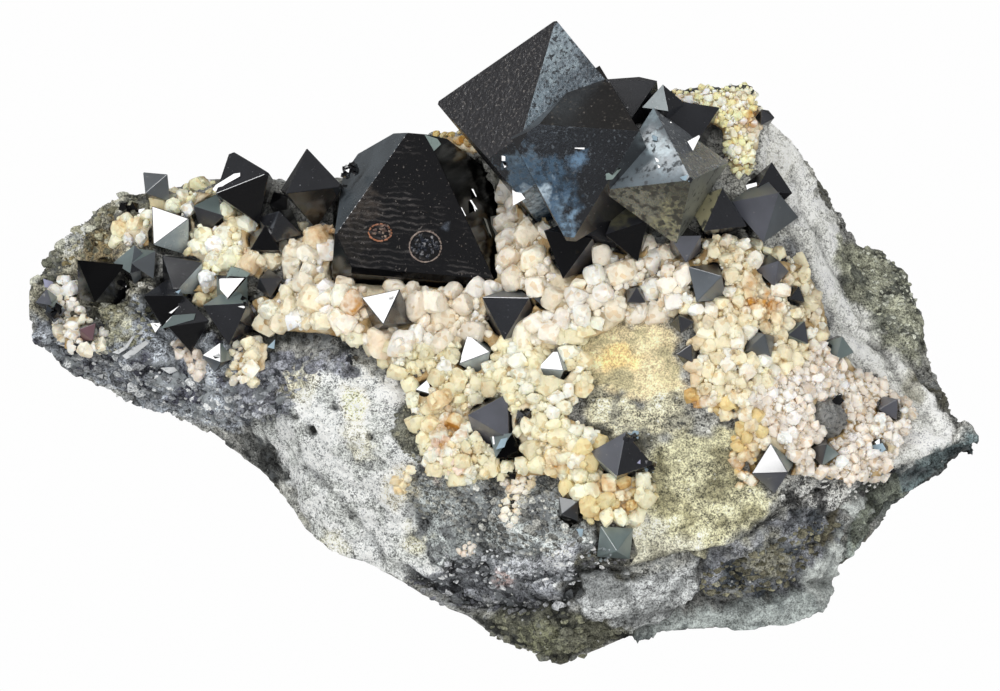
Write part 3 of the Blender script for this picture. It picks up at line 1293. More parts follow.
@dataclass
class FeldsparGrains(Grains):
    """The feldspar's loose-looking grains, grown together."""

    shaded: np.ndarray = field(default_factory=lambda: np.array((0.54, 0.42, 0.28)))  # tint of the gaps
    shades: tuple = (0.96, 1.22)  # what a grain's tint is multiplied by
    gap: float = 0.3  # how far up a grain its foot's darker tint reaches, in radii
    rusts: tuple = (  # across, rise, radius and strength of each iron stain
        (30.4, 42.4, 3, 1), (22.9, 30, 2.2, 0.9), (28.1, 22.9, 2.2, 1), (12.8, 20.4, 2, 0.9),
        (-5.7, 29.2, 2.2, 0.8), (-5.2, 26.4, 2, 0.8), (-20.1, 49.8, 2, 0.9), (28.6, 63.3, 1.8, 1),
        (-5.2, 61.3, 2, 0.9), (-16.6, 42.4, 1.6, 0.8), (6.9, 24.1, 2, 0.5), (-43.5, 51, 1.4, 0.7),
        (-29.2, 46.4, 1.6, 0.4), (18.3, 24.6, 1.5, 0.7),
    )
    fields: tuple = (
        GrainField("under_great", (-20.6, 43.8, -17.8, 45.8, -9.2, 43.5, 0, 44.1, 0.6, 55, 3.4, 53.9,
            6.9, 47.6, 16, 48.7, 22.9, 48.1, 21.8, 42.4, 18.3, 40.3, 11.5, 41, 6.9, 39, 0, 37.2,
            -6.9, 37.2, -11.5, 37.2, -17.8, 38.4), (1.25, 1.7, 0.75, 1.15, 0.45, 0.7, 0.28, 0.42),
            ("efe7d8", "f3eee4", "e6ddcc", "eee4cf"), sharpness=7, knobs=1, loose=0.9),
        GrainField("middle", (-17.8, 38.4, -11.5, 37.2, 0, 37.2, 6.9, 39, 11.5, 40.3, 9.2, 37.2, 10.3,
            33.2, 6.9, 28.6, 11.5, 26.4, 10.3, 21.8, 6.9, 22.9, 3.4, 22.9, -4.6, 21.5, -8.3, 22.9, -9.7,
            28.1, -10.9, 32.7, -14.3, 36.7), (0.8, 1.3, 0.5, 0.8, 0.32, 0.48, 0.22, 0.32), ("f0e8d4",
            "f6f2e8", "eadfc4", "eee4c8"), 0.3, knobs=3, loose=0.8, glow=(0.97, 1, 0.93)),
        GrainField("finger", (6.9, 24.6, 11.5, 26.4, 11.5, 21.8, 17.2, 22, 17.8, 19.5, 14.7, 17, 10.3,
            17, 7.8, 19.7), (0.95, 1.35, 0.55, 0.85, 0.32, 0.5), ("f1e7ce", "f5eedc", "e8d6ac"), 0.5,
            knobs=4, loose=0.8, glow=(0.97, 1, 0.9)),
        GrainField("right_upper", (21.8, 48.1, 25.2, 49.5, 30.4, 48.4, 34.4, 46.8, 36.1, 43.5, 37.6, 37.8,
            32.1, 34.1, 28.1, 30.9, 22.9, 30.7, 21.5, 35.5, 22.9, 39, 20.6, 41.8), (0.75, 1.1, 0.45, 0.7,
            0.3, 0.42, 0.2, 0.3), ("f0e8ce", "f5f1e2", "ebe0c0", "f0e6c6"), 0.35, knobs=3, loose=0.8),
        GrainField("right_lower", (28.1, 31.2, 32.1, 34.1, 37.6, 37.8, 40.1, 34.1, 43.8, 33, 47.9, 29.8,
            46.1, 26.1, 43.8, 21.5, 40.1, 22, 34.4, 22.7, 32.3, 26.4, 29.8, 28.6), (0.55, 0.85, 0.38,
            0.55, 0.26, 0.36, 0.18, 0.26), ("eee6da", "f4efe8", "e6dccf", "ece1d3"), 0.12, knobs=3,
            loose=0.8),
        GrainField("right_edge", (21.8, 31.5, 28.1, 31.2, 30.7, 27.5, 28.9, 21.8, 27.3, 21.1, 26.4, 26.4,
            28.1, 28.6, 24.3, 29.6), (0.7, 1, 0.45, 0.65, 0.3, 0.42), ("f0e5c6", "f2ead6", "e4cf98"), 0.6,
            knobs=4, loose=0.9),
        GrainField("arm", (-38.4, 56.7, -33.8, 56.4, -32.7, 53.3, -28.6, 52.1, -27.3, 48.7, -28.6, 46.4,
            -30.7, 46.8, -33.6, 42.2, -36.7, 43.1, -36.2, 48.7, -38.4, 49.8, -44.5, 49.3, -44.5, 52.1,
            -41.3, 52.1), (0.95, 1.3, 0.6, 0.9, 0.38, 0.58, 0.25, 0.38), ("f2ead2", "f7f2e4", "eadfc0"),
            0.3, knobs=3, loose=0.8, glow=(1.16, 1.16, 1.08)),
        GrainField("left_middle", (-25.2, 51.3, -20.1, 51.3, -18.7, 45.8, -18.1, 39.9, -21.8, 39.2, -27.3,
            39.2, -28.4, 41.3, -25.8, 45.3, -28.9, 46.8), (1.1, 1.55, 0.65, 1, 0.4, 0.62, 0.26, 0.4),
            ("efe5ce", "f5efe2", "e8dcbe"), 0.3, knobs=3, loose=0.8, glow=(1.02, 1.06, 1.12)),
        GrainField("tuft_low", (-30.7, 38.4, -28, 38, -28.4, 32.5, -31.4, 33.2), (0.6, 0.9, 0.38, 0.55,
            0.24, 0.36), ("ece2c4", "f0e8d6"), 0.3),
        GrainField("tuft_left", (-51.6, 42.9, -49, 42.4, -47.9, 40.1, -45.8, 39, -46.3, 36.7, -50.2,
            36.7, -52.1, 39.5), (0.6, 0.9, 0.38, 0.55, 0.24, 0.36), ("f5f1e8", "eee6d2"), 0.15),
        GrainField("top", (18.3, 67.1, 22.9, 67.8, 29.4, 67.6, 30.7, 64.2, 28.9, 59.6, 29.4, 57.5, 27.3,
            56.6, 25.9, 58.4, 25.9, 62.4, 24.6, 63, 24.3, 64.6, 18.6, 65.8), (0.36, 0.58, 0.24, 0.36,
            0.15, 0.24), ("f8efca", "fbf5de", "f4e6b2"), 0.3, knobs=4, loose=1.3, glow=(1.22, 1.15, 1.17)),
        GrainField("notch", (-8.6, 63.3, -3.4, 62.8, -1.1, 59.6, -6.9, 61), (0.4, 0.6, 0.25, 0.4),
            ("efe2b4", "e6cf8c"), 0.45, knobs=3, loose=1.2),
        GrainField("crumbs_front", (0.3, 22, 1.4, 21.5, 3.8, 22.5, 4.2, 21.9, 3.1, 20.6, 2.2, 19.9, 2.3,
            19, 1.8, 17.2, 1.1, 16.3, 0.3, 17.4, 0, 18.9, 0.9, 19.8, 0.3, 20.9), (0.5, 0.75, 0.3, 0.45,
            0.2, 0.3), ("efe4d0", "f3ebdc", "e2d2b4"), 0.3, knobs=3),
        GrainField("crumbs_orange", (5.6, 25, 6.9, 25.4, 8.6, 24.6, 8.8, 22.9, 7.6, 21.9, 6, 22.5, 5.4,
            23.7), (0.7, 1, 0.4, 0.6, 0.2, 0.3), ("f3e2bd", "efd6a2", "f5ecd8"), 0.6, knobs=3),
        GrainField("crumbs_pink", (-8.7, 23.4, -7.3, 26.4, -5.8, 26.4, -4.6, 23.1, -5.5, 22.5, -8, 22.5),
            (0.5, 0.8, 0.3, 0.45, 0.18, 0.28), ("ecd6c6", "e6cbb6", "f0dfd0"), 0.2, knobs=4),
        GrainField("crumbs_low", (-4.9, 13.5, -3.4, 14.7, -2.6, 14, -3, 13.4, -4.2, 13.1), (0.4, 0.6,
            0.2, 0.32), ("efe4d6", "e6d8c8"), 0.1, knobs=3),
        GrainField("crumbs_flank", (-11.9, 21.8, -10.7, 22.9, -10, 23.1, -10.3, 21.5, -11, 20.2, -11.8,
            20.4), (0.5, 0.75, 0.26, 0.4), ("ead9b4", "f0e4c8"), 0.3, knobs=3),
        GrainField("crumbs_arm_chunk", (-38.2, 37.6, -36.7, 37.8, -34.8, 36.4, -34.4, 35.3, -34.8, 33.5,
            -35.8, 33.5, -36.4, 35.3, -37.8, 36.4), (0.6, 0.9, 0.35, 0.5, 0.2, 0.3), ("e2d8cc", "d6cabc",
            "ece4da"), 0.1, knobs=3),
        GrainField("pebble_edge", (-52.3, 44.2, -51.3, 44.9, -50.4, 44.5, -50, 43.5, -50.6, 42.7, -51.8,
            42.9), (1, 1.3, 0.45, 0.6), ("f4f1e6", "f8f6ee"), 0.05, knobs=3),
        GrainField("grain_grey", (-36.2, 44.2, -34.8, 45.1, -32.8, 44.9, -32.8, 43.5, -34.4, 42.6, -36,
            43.1), (1.3, 1.5, 0.4, 0.6), ("d9cdb8", "e2d8c6"), 0.05, sharpness=8, knobs=1),
        GrainField("beads_centre", (-0.2, 52.9, 0.9, 54.1, 1.8, 53.2, 1.4, 51.1, 2.3, 49.7, 1.8, 48.4, 0.5,
            48.1, 0, 49.7, 0.7, 50.9), (1.15, 1.35, 0.5, 0.7), ("e9e0d2", "f0e9dd"), 0.05, sharpness=4,
            knobs=0, loose=1.2),
    )

    def build(self) -> list[bpy.types.Object]:
        """Makes every field of grains.

        Returns:
            One piece for each field.
        """
        material = FeldsparFinish().build()
        pieces = []
        for number, area in enumerate(self.fields):
            pieces.append(self.piece(area, np.random.default_rng(self.seed + number), material))
        return pieces

    def piece(
        self, area: GrainField, rng: np.random.Generator, material: bpy.types.Material
    ) -> bpy.types.Object:
        """Makes one field's grains.

        Args:
            area: the field.
            rng: the source of chance.
            material: the grains' finish.

        Returns:
            The grains, as one piece.
        """
        shapes, tints, stains = [], [], []
        palette = [np.array(linear(tint)[:3]) for tint in area.tints]
        last, tint, rust = None, None, 0.0
        for middle, radius, number in self.blocks(area, rng):
            if number != last:
                tint = palette[rng.integers(len(palette))] * rng.uniform(*self.shades) * area.glow
                rust = self.rust(middle[0], middle[1]) + area.stain * rng.uniform(0, 1.0) ** 3
                last = number
            points, faces = self.shape(radius, area.sharpness, rng)
            shapes.append((middle + points, faces))
            deep = smooth_step(points[:, 2], -radius, self.gap * radius)[:, None]
            tints.append(tint * (self.shaded + (1 - self.shaded) * deep))
            stains.append(np.full(len(points), rust))
        piece = self.joined(f"feldspar_grains_{area.name}", shapes)
        paint(piece.data, np.vstack(tints), stain=np.clip(np.concatenate(stains), 0, 1))
        piece.data.materials.append(material)
        return placed(piece, Slot.FELDSPAR)

    def rust(self, across: float, rise: float) -> float:
        """How strongly iron stains the feldspar at a place.

        Args:
            across: the place's distance to the right.
            rise: its height up the plane.

        Returns:
            The stain, where 1 is full.
        """
        return sum(
            strength * math.exp(-(((across - x) ** 2 + (rise - y) ** 2) / radius**2))
            for x, y, radius, strength in self.rusts
        )


@dataclass
class FeldsparBeds:
    """The sugary crust that the grains sit in: each packed sheet, worked out finely."""

    voxel: float = 0.36
    grain_mm: float = 1.1
    height: float = 0.45
    level: float = 0.25  # how far a grain's middle stands out, in heights
    facing: tuple = (-0.2, 0.3)
    stain_mm: float = 4.0
    stain_limits: tuple = (-0.2, 0.3)
    stain: float = 0.35
    gap_shade: float = 0.3  # how much darker the gaps between grains are
    tints: tuple = ("e8dabc", "c9ad7e")

    def build(self) -> list[bpy.types.Object]:
        """Makes the beds.

        Returns:
            One piece for each packed feldspar node.
        """
        material = FeldsparFinish("feldspar_sugary", stain="a8854a").build()
        beds = []
        for node in sorted(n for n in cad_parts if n.startswith("feldspar")):
            bed = remeshed(node.replace("feldspar", "feldspar_bed"), node, self.voxel, 2)
            points, normals = vertex_arrays(bed.data)
            solid = points / MM
            cell = np.array([noise.voronoi(Vector(p / self.grain_mm))[0][0] for p in solid])
            outward = smooth_step(normals @ OUT, *self.facing)
            points += normals * ((self.level - cell) * self.height * outward * MM)[:, None]
            keep_inside(points, *frame_box(*WIDEST))
            bed.data.vertices.foreach_set("co", points.ravel())
            share = smooth_step(fractal(solid, self.stain_mm, 3), *self.stain_limits)[:, None]
            pale, deep = (np.array(linear(tint)[:3]) for tint in self.tints)
            tint = (pale + (deep - pale) * share) * (1.0 - self.gap_shade * cell[:, None])
            paint(bed.data, tint, stain=self.stain * share[:, 0])
            bed.data.shade_smooth()
            bed.data.materials.append(material)
            beds.append(placed(bed, Slot.FELDSPAR, node))
        return beds


@dataclass(frozen=True)
class CrumbField(GrainField):
    """A part of the rock's face covered with angular crumbs of the same stone."""

    grit: float = 0.7
    mica: float = 0.3
    closeness: float = 0.85
    sink: float = 0.5
    loose: float = 0.45


@dataclass
class SchistCrumbs(Grains):
    """The crumbly skin of the rock's dark parts: splinters lying along its layers, some with mica."""

    seed: int = 107
    balls: tuple = field(default_factory=lambda: ((0.0, Ball.of(1)), (0.5, Ball.of(2))))
    tries_per_mm2: float = 3.0
    knobs_above: float = 9.0
    crease: float = 12.0
    gain: float = 1.35
    thin: float = 0.5  # how thick a splinter is across the layers, against its width
    spread: tuple = (1.25, 0.95, 0.95)
    stray: float = 0.25  # how far splinters lie off the layers
    shades: tuple = (0.75, 1.12)  # what a splinter's tint is multiplied by
    sharpness: float = 60.0
    rough: float = 0.5
    glints: float = 0.3  # the share of a mica field's crumbs that shine
    split: np.ndarray = field(default_factory=lambda: LAYERS @ DISPLAY)
    fields: tuple = (
        CrumbField("arm_rim", (-54.5, 43.3, -54.1, 46.8, -51.6, 49.7, -50.2, 50.9, -48.4, 53.2, -46.3, 54.5,
            -43.5, 55.2, -42.2, 54.3, -42.6, 53.2, -44.9, 53.2, -46.8, 51.6, -48.8, 49.7, -50.4, 47.9,
            -51.8, 46.1, -52.7, 43.3), (0.5, 0.9, 0.3, 0.5, 0.2, 0.3), ("8c8a78", "6b6a5c", "a6a698",
            "55564a"), mica=0.5),
        CrumbField("arm_top", (-46.3, 53.2, -42.6, 53.2, -44.5, 51.3, -44.5, 49.7, -44.9, 47.2, -48.8, 47.2,
            -51.6, 46.1, -48.8, 49.7), (0.35, 0.6, 0.2, 0.32), ("7c7a66", "8f8c76", "5c5a4a", "6d6346")),
        CrumbField("arm_clump", (-43.3, 44.2, -41.9, 44.7, -40.1, 44.2, -39.9, 42.9, -40.8, 42.2, -42.6,
            42.6), (0.4, 0.6, 0.24, 0.36), ("b4b1a6", "9c9a90", "cfccc2"), mica=0.2),
        CrumbField("arm_front", (-46.3, 41.9, -42.4, 42.4, -40.6, 41.7, -40.1, 39, -41.3, 37.6, -44.5,
            36.7, -46.1, 36.4, -46.3, 39), (0.35, 0.65, 0.2, 0.32), ("85846f", "6f6e60", "9c9c90"),
            mica=0.6),
        CrumbField("arm_low", (-54.1, 37.8, -51.3, 36.4, -50.4, 36.7, -44.7, 36, -39, 33.9, -34.8, 32.8,
            -28.6, 31.2, -27.3, 29.8, -30.7, 28.2, -34.8, 28.2, -40.1, 30, -45.4, 31.2, -50, 32.8,
            -52.7, 34.8), (0.4, 0.7, 0.22, 0.38), ("9a9c9c", "7c7e80", "b9bbbb", "5f6163"), mica=0.9),
        CrumbField("ledge", (-30.3, 30.9, -29.1, 33.7, -25.7, 35.3, -20.6, 36.4, -18.3, 35.3, -20.4, 34.1,
            -23.1, 32.8, -24.3, 29.6, -27.3, 28.2), (0.4, 0.8, 0.22, 0.38), ("7a7c82", "65676d", "94969a"),
            mica=0.6),
        CrumbField("boulder", (-11.7, 29.6, -9.9, 30.5, -7.6, 28.6, -8, 26.4, -9.2, 23.4, -11, 25,
            -11.9, 26.8), (0.3, 0.5, 0.18, 0.28), ("6a6a5e", "56564a", "7f7d6b")),
        CrumbField("middle_left", (-10.3, 22.7, -6.9, 22.9, -4.8, 21.1, -6.4, 18.6, -8.7, 17.4, -10.3, 19.5,
            -10.8, 21.5), (0.3, 0.5, 0.18, 0.28), ("7e7e76", "66665f", "94948c")),
        CrumbField("middle", (-5.7, 22.5, 0, 22.2, 6.9, 21.5, 10.3, 16, 6.9, 13.1, 2.3, 13.1, -2.3,
            14.9, -6.4, 17.2), (0.3, 0.55, 0.18, 0.3), ("90908a", "74746f", "a6a6a0", "5a5a56"), mica=0.5),
        CrumbField("band", (-6.9, 13.1, 0, 14, 7.6, 13.1, 9.2, 10.3, 4.6, 9.4, -3.4, 9.6, -8, 9.9),
            (0.3, 0.5, 0.18, 0.28), ("a6a8aa", "8c8e90", "c4c6c8", "66686a"), mica=0.9),
        CrumbField("sparkle", (8.7, 14, 10.3, 14.9, 13.3, 14, 15.1, 12.6, 11.5, 11.7, 9.2, 12.4), (0.3,
            0.45, 0.18, 0.28), ("d8d8d8", "8c8c8e", "4a4a4c"), mica=1),
        CrumbField("rim_low", (-11, 10.5, -6.9, 9.2, 0, 8, 7.6, 8.7, 8.7, 7.6, 2.3, 6.4, -5.7, 7.1,
            -11, 8.9), (0.3, 0.55, 0.2, 0.3), ("6c6d6e", "54555a", "8a8b8c"), mica=0.5),
        CrumbField("olive_tip", (-2.5, 3.4, 0, 6.2, 6.9, 6.9, 13.8, 4.4, 9.2, 1.6, 4.6, 0.7), (0.35, 0.6,
            0.2, 0.34), ("56564a", "46463a", "6a6a58")),
        CrumbField("olive_band", (22.5, 9.2, 23.6, 11.9, 29.8, 14, 35.8, 17.2, 38.5, 16.7, 35.8, 12.6,
            33.2, 9.9, 27.5, 8.5), (0.35, 0.6, 0.2, 0.34), ("5f5c4c", "4c4a3c", "7d7a64"), mica=0.4),
        CrumbField("speckled", (33.9, 22, 37.8, 22.9, 42.6, 22.9, 43.5, 21.3, 41.3, 19.7, 34.4, 19.5),
            (0.24, 0.4, 0.16, 0.24), ("d4d4d0", "8a8a88", "4a4a4a", "b4b4b0"), mica=0.5),
        CrumbField("knob", (40.8, 48.1, 43.5, 48.8, 46.1, 47.4, 48.4, 42.4, 48.6, 38.3, 47, 36, 44.9,
            38.3, 42.6, 43.5), (0.24, 0.38, 0.16, 0.24), ("8f9080", "747566", "a8aa9c")),
    )

    def build(self) -> list[bpy.types.Object]:
        """Makes every field of crumbs.

        Returns:
            One piece for each field.
        """
        material = SchistFinish().build()
        pieces = []
        for number, area in enumerate(self.fields):
            rng = np.random.default_rng(self.seed + number)
            palette = [self.gain * np.array(linear(tint)[:3]) for tint in area.tints]
            shapes, tints, mica = [], [], []
            for middle, radius, _ in self.blocks(area, rng):
                points, faces = self.shape(radius, self.sharpness, rng)
                across = self.split + self.stray * rng.normal(size=3)
                across /= np.linalg.norm(across)
                points = points - (1 - self.thin) * np.outer(points @ across, across)
                shapes.append((middle + points * self.spread, faces))
                tint = palette[rng.integers(len(palette))] * rng.uniform(*self.shades)
                tints.append(np.tile(tint, (len(points), 1)))
                mica.append(np.full(len(points), area.mica * (rng.random() < self.glints)))
            piece = self.joined(f"schist_crumbs_{area.name}", shapes, smooth=False)
            even = np.ones(len(piece.data.vertices))
            looks = {"grit": area.grit * even, "mica": np.concatenate(mica), "rough": self.rough * even}
            paint(piece.data, np.vstack(tints), **looks)
            piece.data.materials.append(material)
            pieces.append(placed(piece, Slot.SCHIST))
        return pieces


@dataclass
class GrowthSteps:
    """The little bright facets that stand on the crystals, and plates of mica on the rock.

    Each outline is across and rise by turns.
    """

    sight: Sight
    crystals: "MagnetiteCrystals"
    proud: float = 0.04
    root: float = 0.3
    uneven: float = 1.5  # what lies this much deeper or higher isn't the face that a step stands on
    flash: tuple = (-0.242, 0.432, 0.869)  # half way between the viewer and the key light
    soft: tuple = (0.10, 0.25, 0.96)  # turned a little to the light, without mirroring it
    mica: MagnetiteFinish = MagnetiteFinish("d6d8d8", 0.18, dust="8d9090", dust_cover=0.3, ior=1.58)
    steps: dict = field(default_factory=lambda: {
        Face.MIRROR: (
            (-3.3, 55.3, -3.1, 55.3, -2.7, 54.4, -2.8, 54.4),
            (-3.5, 54, -3.3, 54, -2.6, 52.9, -2.8, 52.9),
            (-3.1, 53.4, -3, 53.4, -2.8, 52.7, -2.9, 52.7),
            (-4.5, 53.1, -4.4, 53.1, -3.9, 52.1, -4, 52.1), (1.4, 55.2, 2.4, 54.7, 2.9, 54, 1.5, 53.2),
            (0.2, 58.9, 0.6, 58.8, 0.6, 58.3, 0.2, 58.3), (0.3, 58.2, 0.7, 58.1, 0.7, 57.6, 0.5, 57.5),
            (8.5, 59.7, 9.6, 59.7, 9.6, 59.5, 8.5, 59.6),
            (21.1, 59.7, 21.4, 60.5, 22.7, 61.2, 22.8, 61, 22.2, 59.8, 21.8, 59, 21.3, 59),
            (17.6, 58.6, 18, 58.4, 18.1, 58.1, 17.8, 58.1),
            (17.9, 57.8, 18.2, 57.6, 18.2, 57.4, 18, 57.4),
            (19.4, 62.8, 19.6, 62.8, 19.6, 62.6, 19.4, 62.6),
            (28.2, 55.6, 29.4, 55.9, 29.6, 54.8, 28.3, 55.1), (8.5, 47.8, 8.8, 48.2, 9.1, 47.9, 8.6, 47.6),
            (-33.3, 55.3, -32.9, 55.8, -30.8, 57.1, -30.1, 57.2, -30.1, 56.8, -31.9, 55.8, -33, 55),
            (-42.7, 52.9, -41.4, 53.2, -41.5, 52.5), (-43.9, 44.5, -43.4, 44.5, -43.4, 44, -43.9, 44),
            (-32.5, 45, -29.6, 45, -31.5, 42.7, -32.4, 43.7),
            (-38.3, 41, -37.1, 41.8, -37.4, 41.5, -38, 40.9),
            (-38.6, 40, -37.9, 40.7, -38.4, 40, -38.8, 39.6), (-40.6, 39.8, -39.2, 39.8, -40, 38.7),
            (-30.3, 41.7, -29.1, 41.9, -29.6, 41.5), (-0.9, 26.8, -0.7, 26.8, -0.6, 25.9, -0.8, 25.9),
        ),
        Face.SLIVER: (
            (-1.9, 52, -1.6, 51.8, -0.9, 49.7, -1.3, 50.3),
            (-1.1, 52.1, 0.1, 52.4, 0, 49.3, -0.8, 48.8),
        ),
        Face.PALE_TEAL: (
            (-8.7, 61.5, -7.2, 61, -6.8, 60.4, -7.6, 59.6),
            (12, 56.7, 13.8, 57.3, 12.8, 56.1, 12.1, 56), (-41.3, 52.7, -40.6, 53.1, -40.6, 51.9),
            (-31.2, 46.3, -28.6, 45.9, -29.4, 45, -31.7, 45.1),
        ),
        Face.PALE_BLUE: (
            (20.4, 56.3, 21.3, 56.6, 21.5, 55.8, 20.7, 56),
            (17.3, 61.2, 17.9, 61, 17.9, 60.5, 17.4, 60.6), (-37.6, 43.4, -36.9, 43.7, -37.2, 43.2),
            (-26.9, 37, -26, 37.9, -26.1, 36.8), (-0.5, 25.3, 0.1, 26.5, 0.9, 26.7, 0.5, 25.6),
            (1.7, 35.2, 2.8, 35.6, 2.5, 34.1), (42.5, 25.7, 43.9, 26, 44.3, 25.3, 43.7, 24.8),
            (14.3, 27.3, 15.9, 27.8, 15.8, 26.5), (16.4, 23.4, 17.6, 22.7, 16.7, 22.6),
            (8.7, 16.3, 9.5, 16.3, 9.3, 15.1),
        ),
        Face.LILAC: (
            (-53.3, 45, -52.1, 44.6, -52.5, 43.9, -53.1, 44), (15.6, 23.8, 16, 24.2, 16, 23.7),
            (6.8, 26, 7.2, 26.5, 7.3, 25.6),
        ),
        Face.TEAL: (
            (-39.3, 39.1, -37.8, 40.7, -35.2, 40.9, -35.4, 40.2, -37.8, 39.5),
        ),
    })
    plates: tuple = (
        (-43.8, 36, -42.7, 36.8, -41.1, 37.8, -40.8, 37.4, -42.3, 36.2, -43.3, 35.6),
        (-39.4, 34.6, -37.8, 34.7, -37.4, 34.3, -38.3, 33.9),
        (-45, 36.4, -43.5, 37.1, -42.7, 38.3, -42.3, 38.4, -43.3, 36.8, -44.3, 36.2),
        (-42.1, 38.5, -41.6, 39, -41.4, 38.5),
        (-47, 33.7, -46.2, 33.9, -46.3, 33.3),
        (-33.2, 36, -32.5, 36.3, -32.4, 35.8),
    )

    def build(self) -> list[bpy.types.Object]:
        """Makes the crystals' steps and the rock's mica plates.

        Returns:
            Both, as one piece each.
        """
        steps = [
            (outline, self.flash if face == Face.MIRROR else self.soft, self.crystals.material(face))
            for face, outlines in self.steps.items()
            for outline in outlines
        ]
        mica = self.mica.build("mica_flake")
        mica.name = "muscovite_flake"
        plates = [(outline, self.soft, mica) for outline in self.plates]
        grown = self.piece("growth_steps", steps, Slot.MAGNETITE)
        return [grown, self.piece("mica_plates", plates, Slot.SCHIST)]

    def piece(self, name: str, slabs: list, slot: Slot) -> bpy.types.Object:
        """Joins slabs as one piece.

        Args:
            name: the piece's name.
            slabs: each slab's outline, the way it faces and its material.
            slot: the slot that the piece takes.

        Returns:
            The piece.
        """
        points, faces, finishes, owners = [], [], [], []
        for outline, lean, finish in slabs:
            slab = self.slab(outline, lean)
            if slab is None:
                LOG.warning("%s: nothing to stand on at %s", name, outline[:2])
                continue
            count, start = len(outline) // 2, len(points)
            if finish not in finishes:
                finishes.append(finish)
            points += [tuple(to_model(p)) for p in slab]
            around = list(range(count))
            sides = [(i, (i + 1) % count, (i + 1) % count + count, i + count) for i in around]
            rings = [tuple(reversed(around)), tuple(i + count for i in around), *sides]
            faces += [tuple(start + i for i in ring) for ring in rings]
            owners += [finishes.index(finish)] * len(rings)
        mesh = bpy.data.meshes.new(name)
        mesh.from_pydata(points, [], faces)
        for finish in finishes:
            mesh.materials.append(finish)
        mesh.polygons.foreach_set("material_index", owners)
        form = bmesh.new()
        form.from_mesh(mesh)
        bmesh.ops.recalc_face_normals(form, faces=form.faces)
        form.to_mesh(mesh)
        form.free()
        return placed(linked(name, mesh), slot)

    def slab(self, outline: tuple, lean: tuple) -> np.ndarray | None:
        """Lays a slab on what shows.

        Args:
            outline: its outline, as across and rise by turns.
            lean: the way it faces, as (across, rise, out).

        Returns:
            Its corners as (across, rise, out), front ones first, or None where nothing shows.
        """
        corners = np.reshape(outline, (-1, 2))
        middle = corners.mean(axis=0)
        seen = [self.sight.front(*spot) for spot in (*corners, middle)]
        ground = [(hit[:2], hit[2]) for hit in seen if hit is not None]
        if not ground:
            return None
        slopes = -np.array(lean[:2]) / lean[2]
        level = np.median([out for _, out in ground])
        near = [(place, out) for place, out in ground if abs(out - level) < self.uneven]
        base = max(out - slopes @ (place - middle) for place, out in near) + self.proud
        front = [(*spot, base + slopes @ (spot - middle)) for spot in corners]
        back = [(*spot, level - self.root) for spot in corners]
        return np.array(front + back)


@dataclass(frozen=True)
class Druse:
    """Small octahedra strewn over an oval spot, or round its edge where hollow is above 0."""

    name: str
    place: tuple
    spread: tuple
    count: int
    sizes: tuple
    face: Face
    hollow: float = 0.0
    anchor: tuple | None = None  # where to take the level from, at a place that nothing lies behind
    depth: float = 0.2  # how unevenly deep they sit, in millimetres


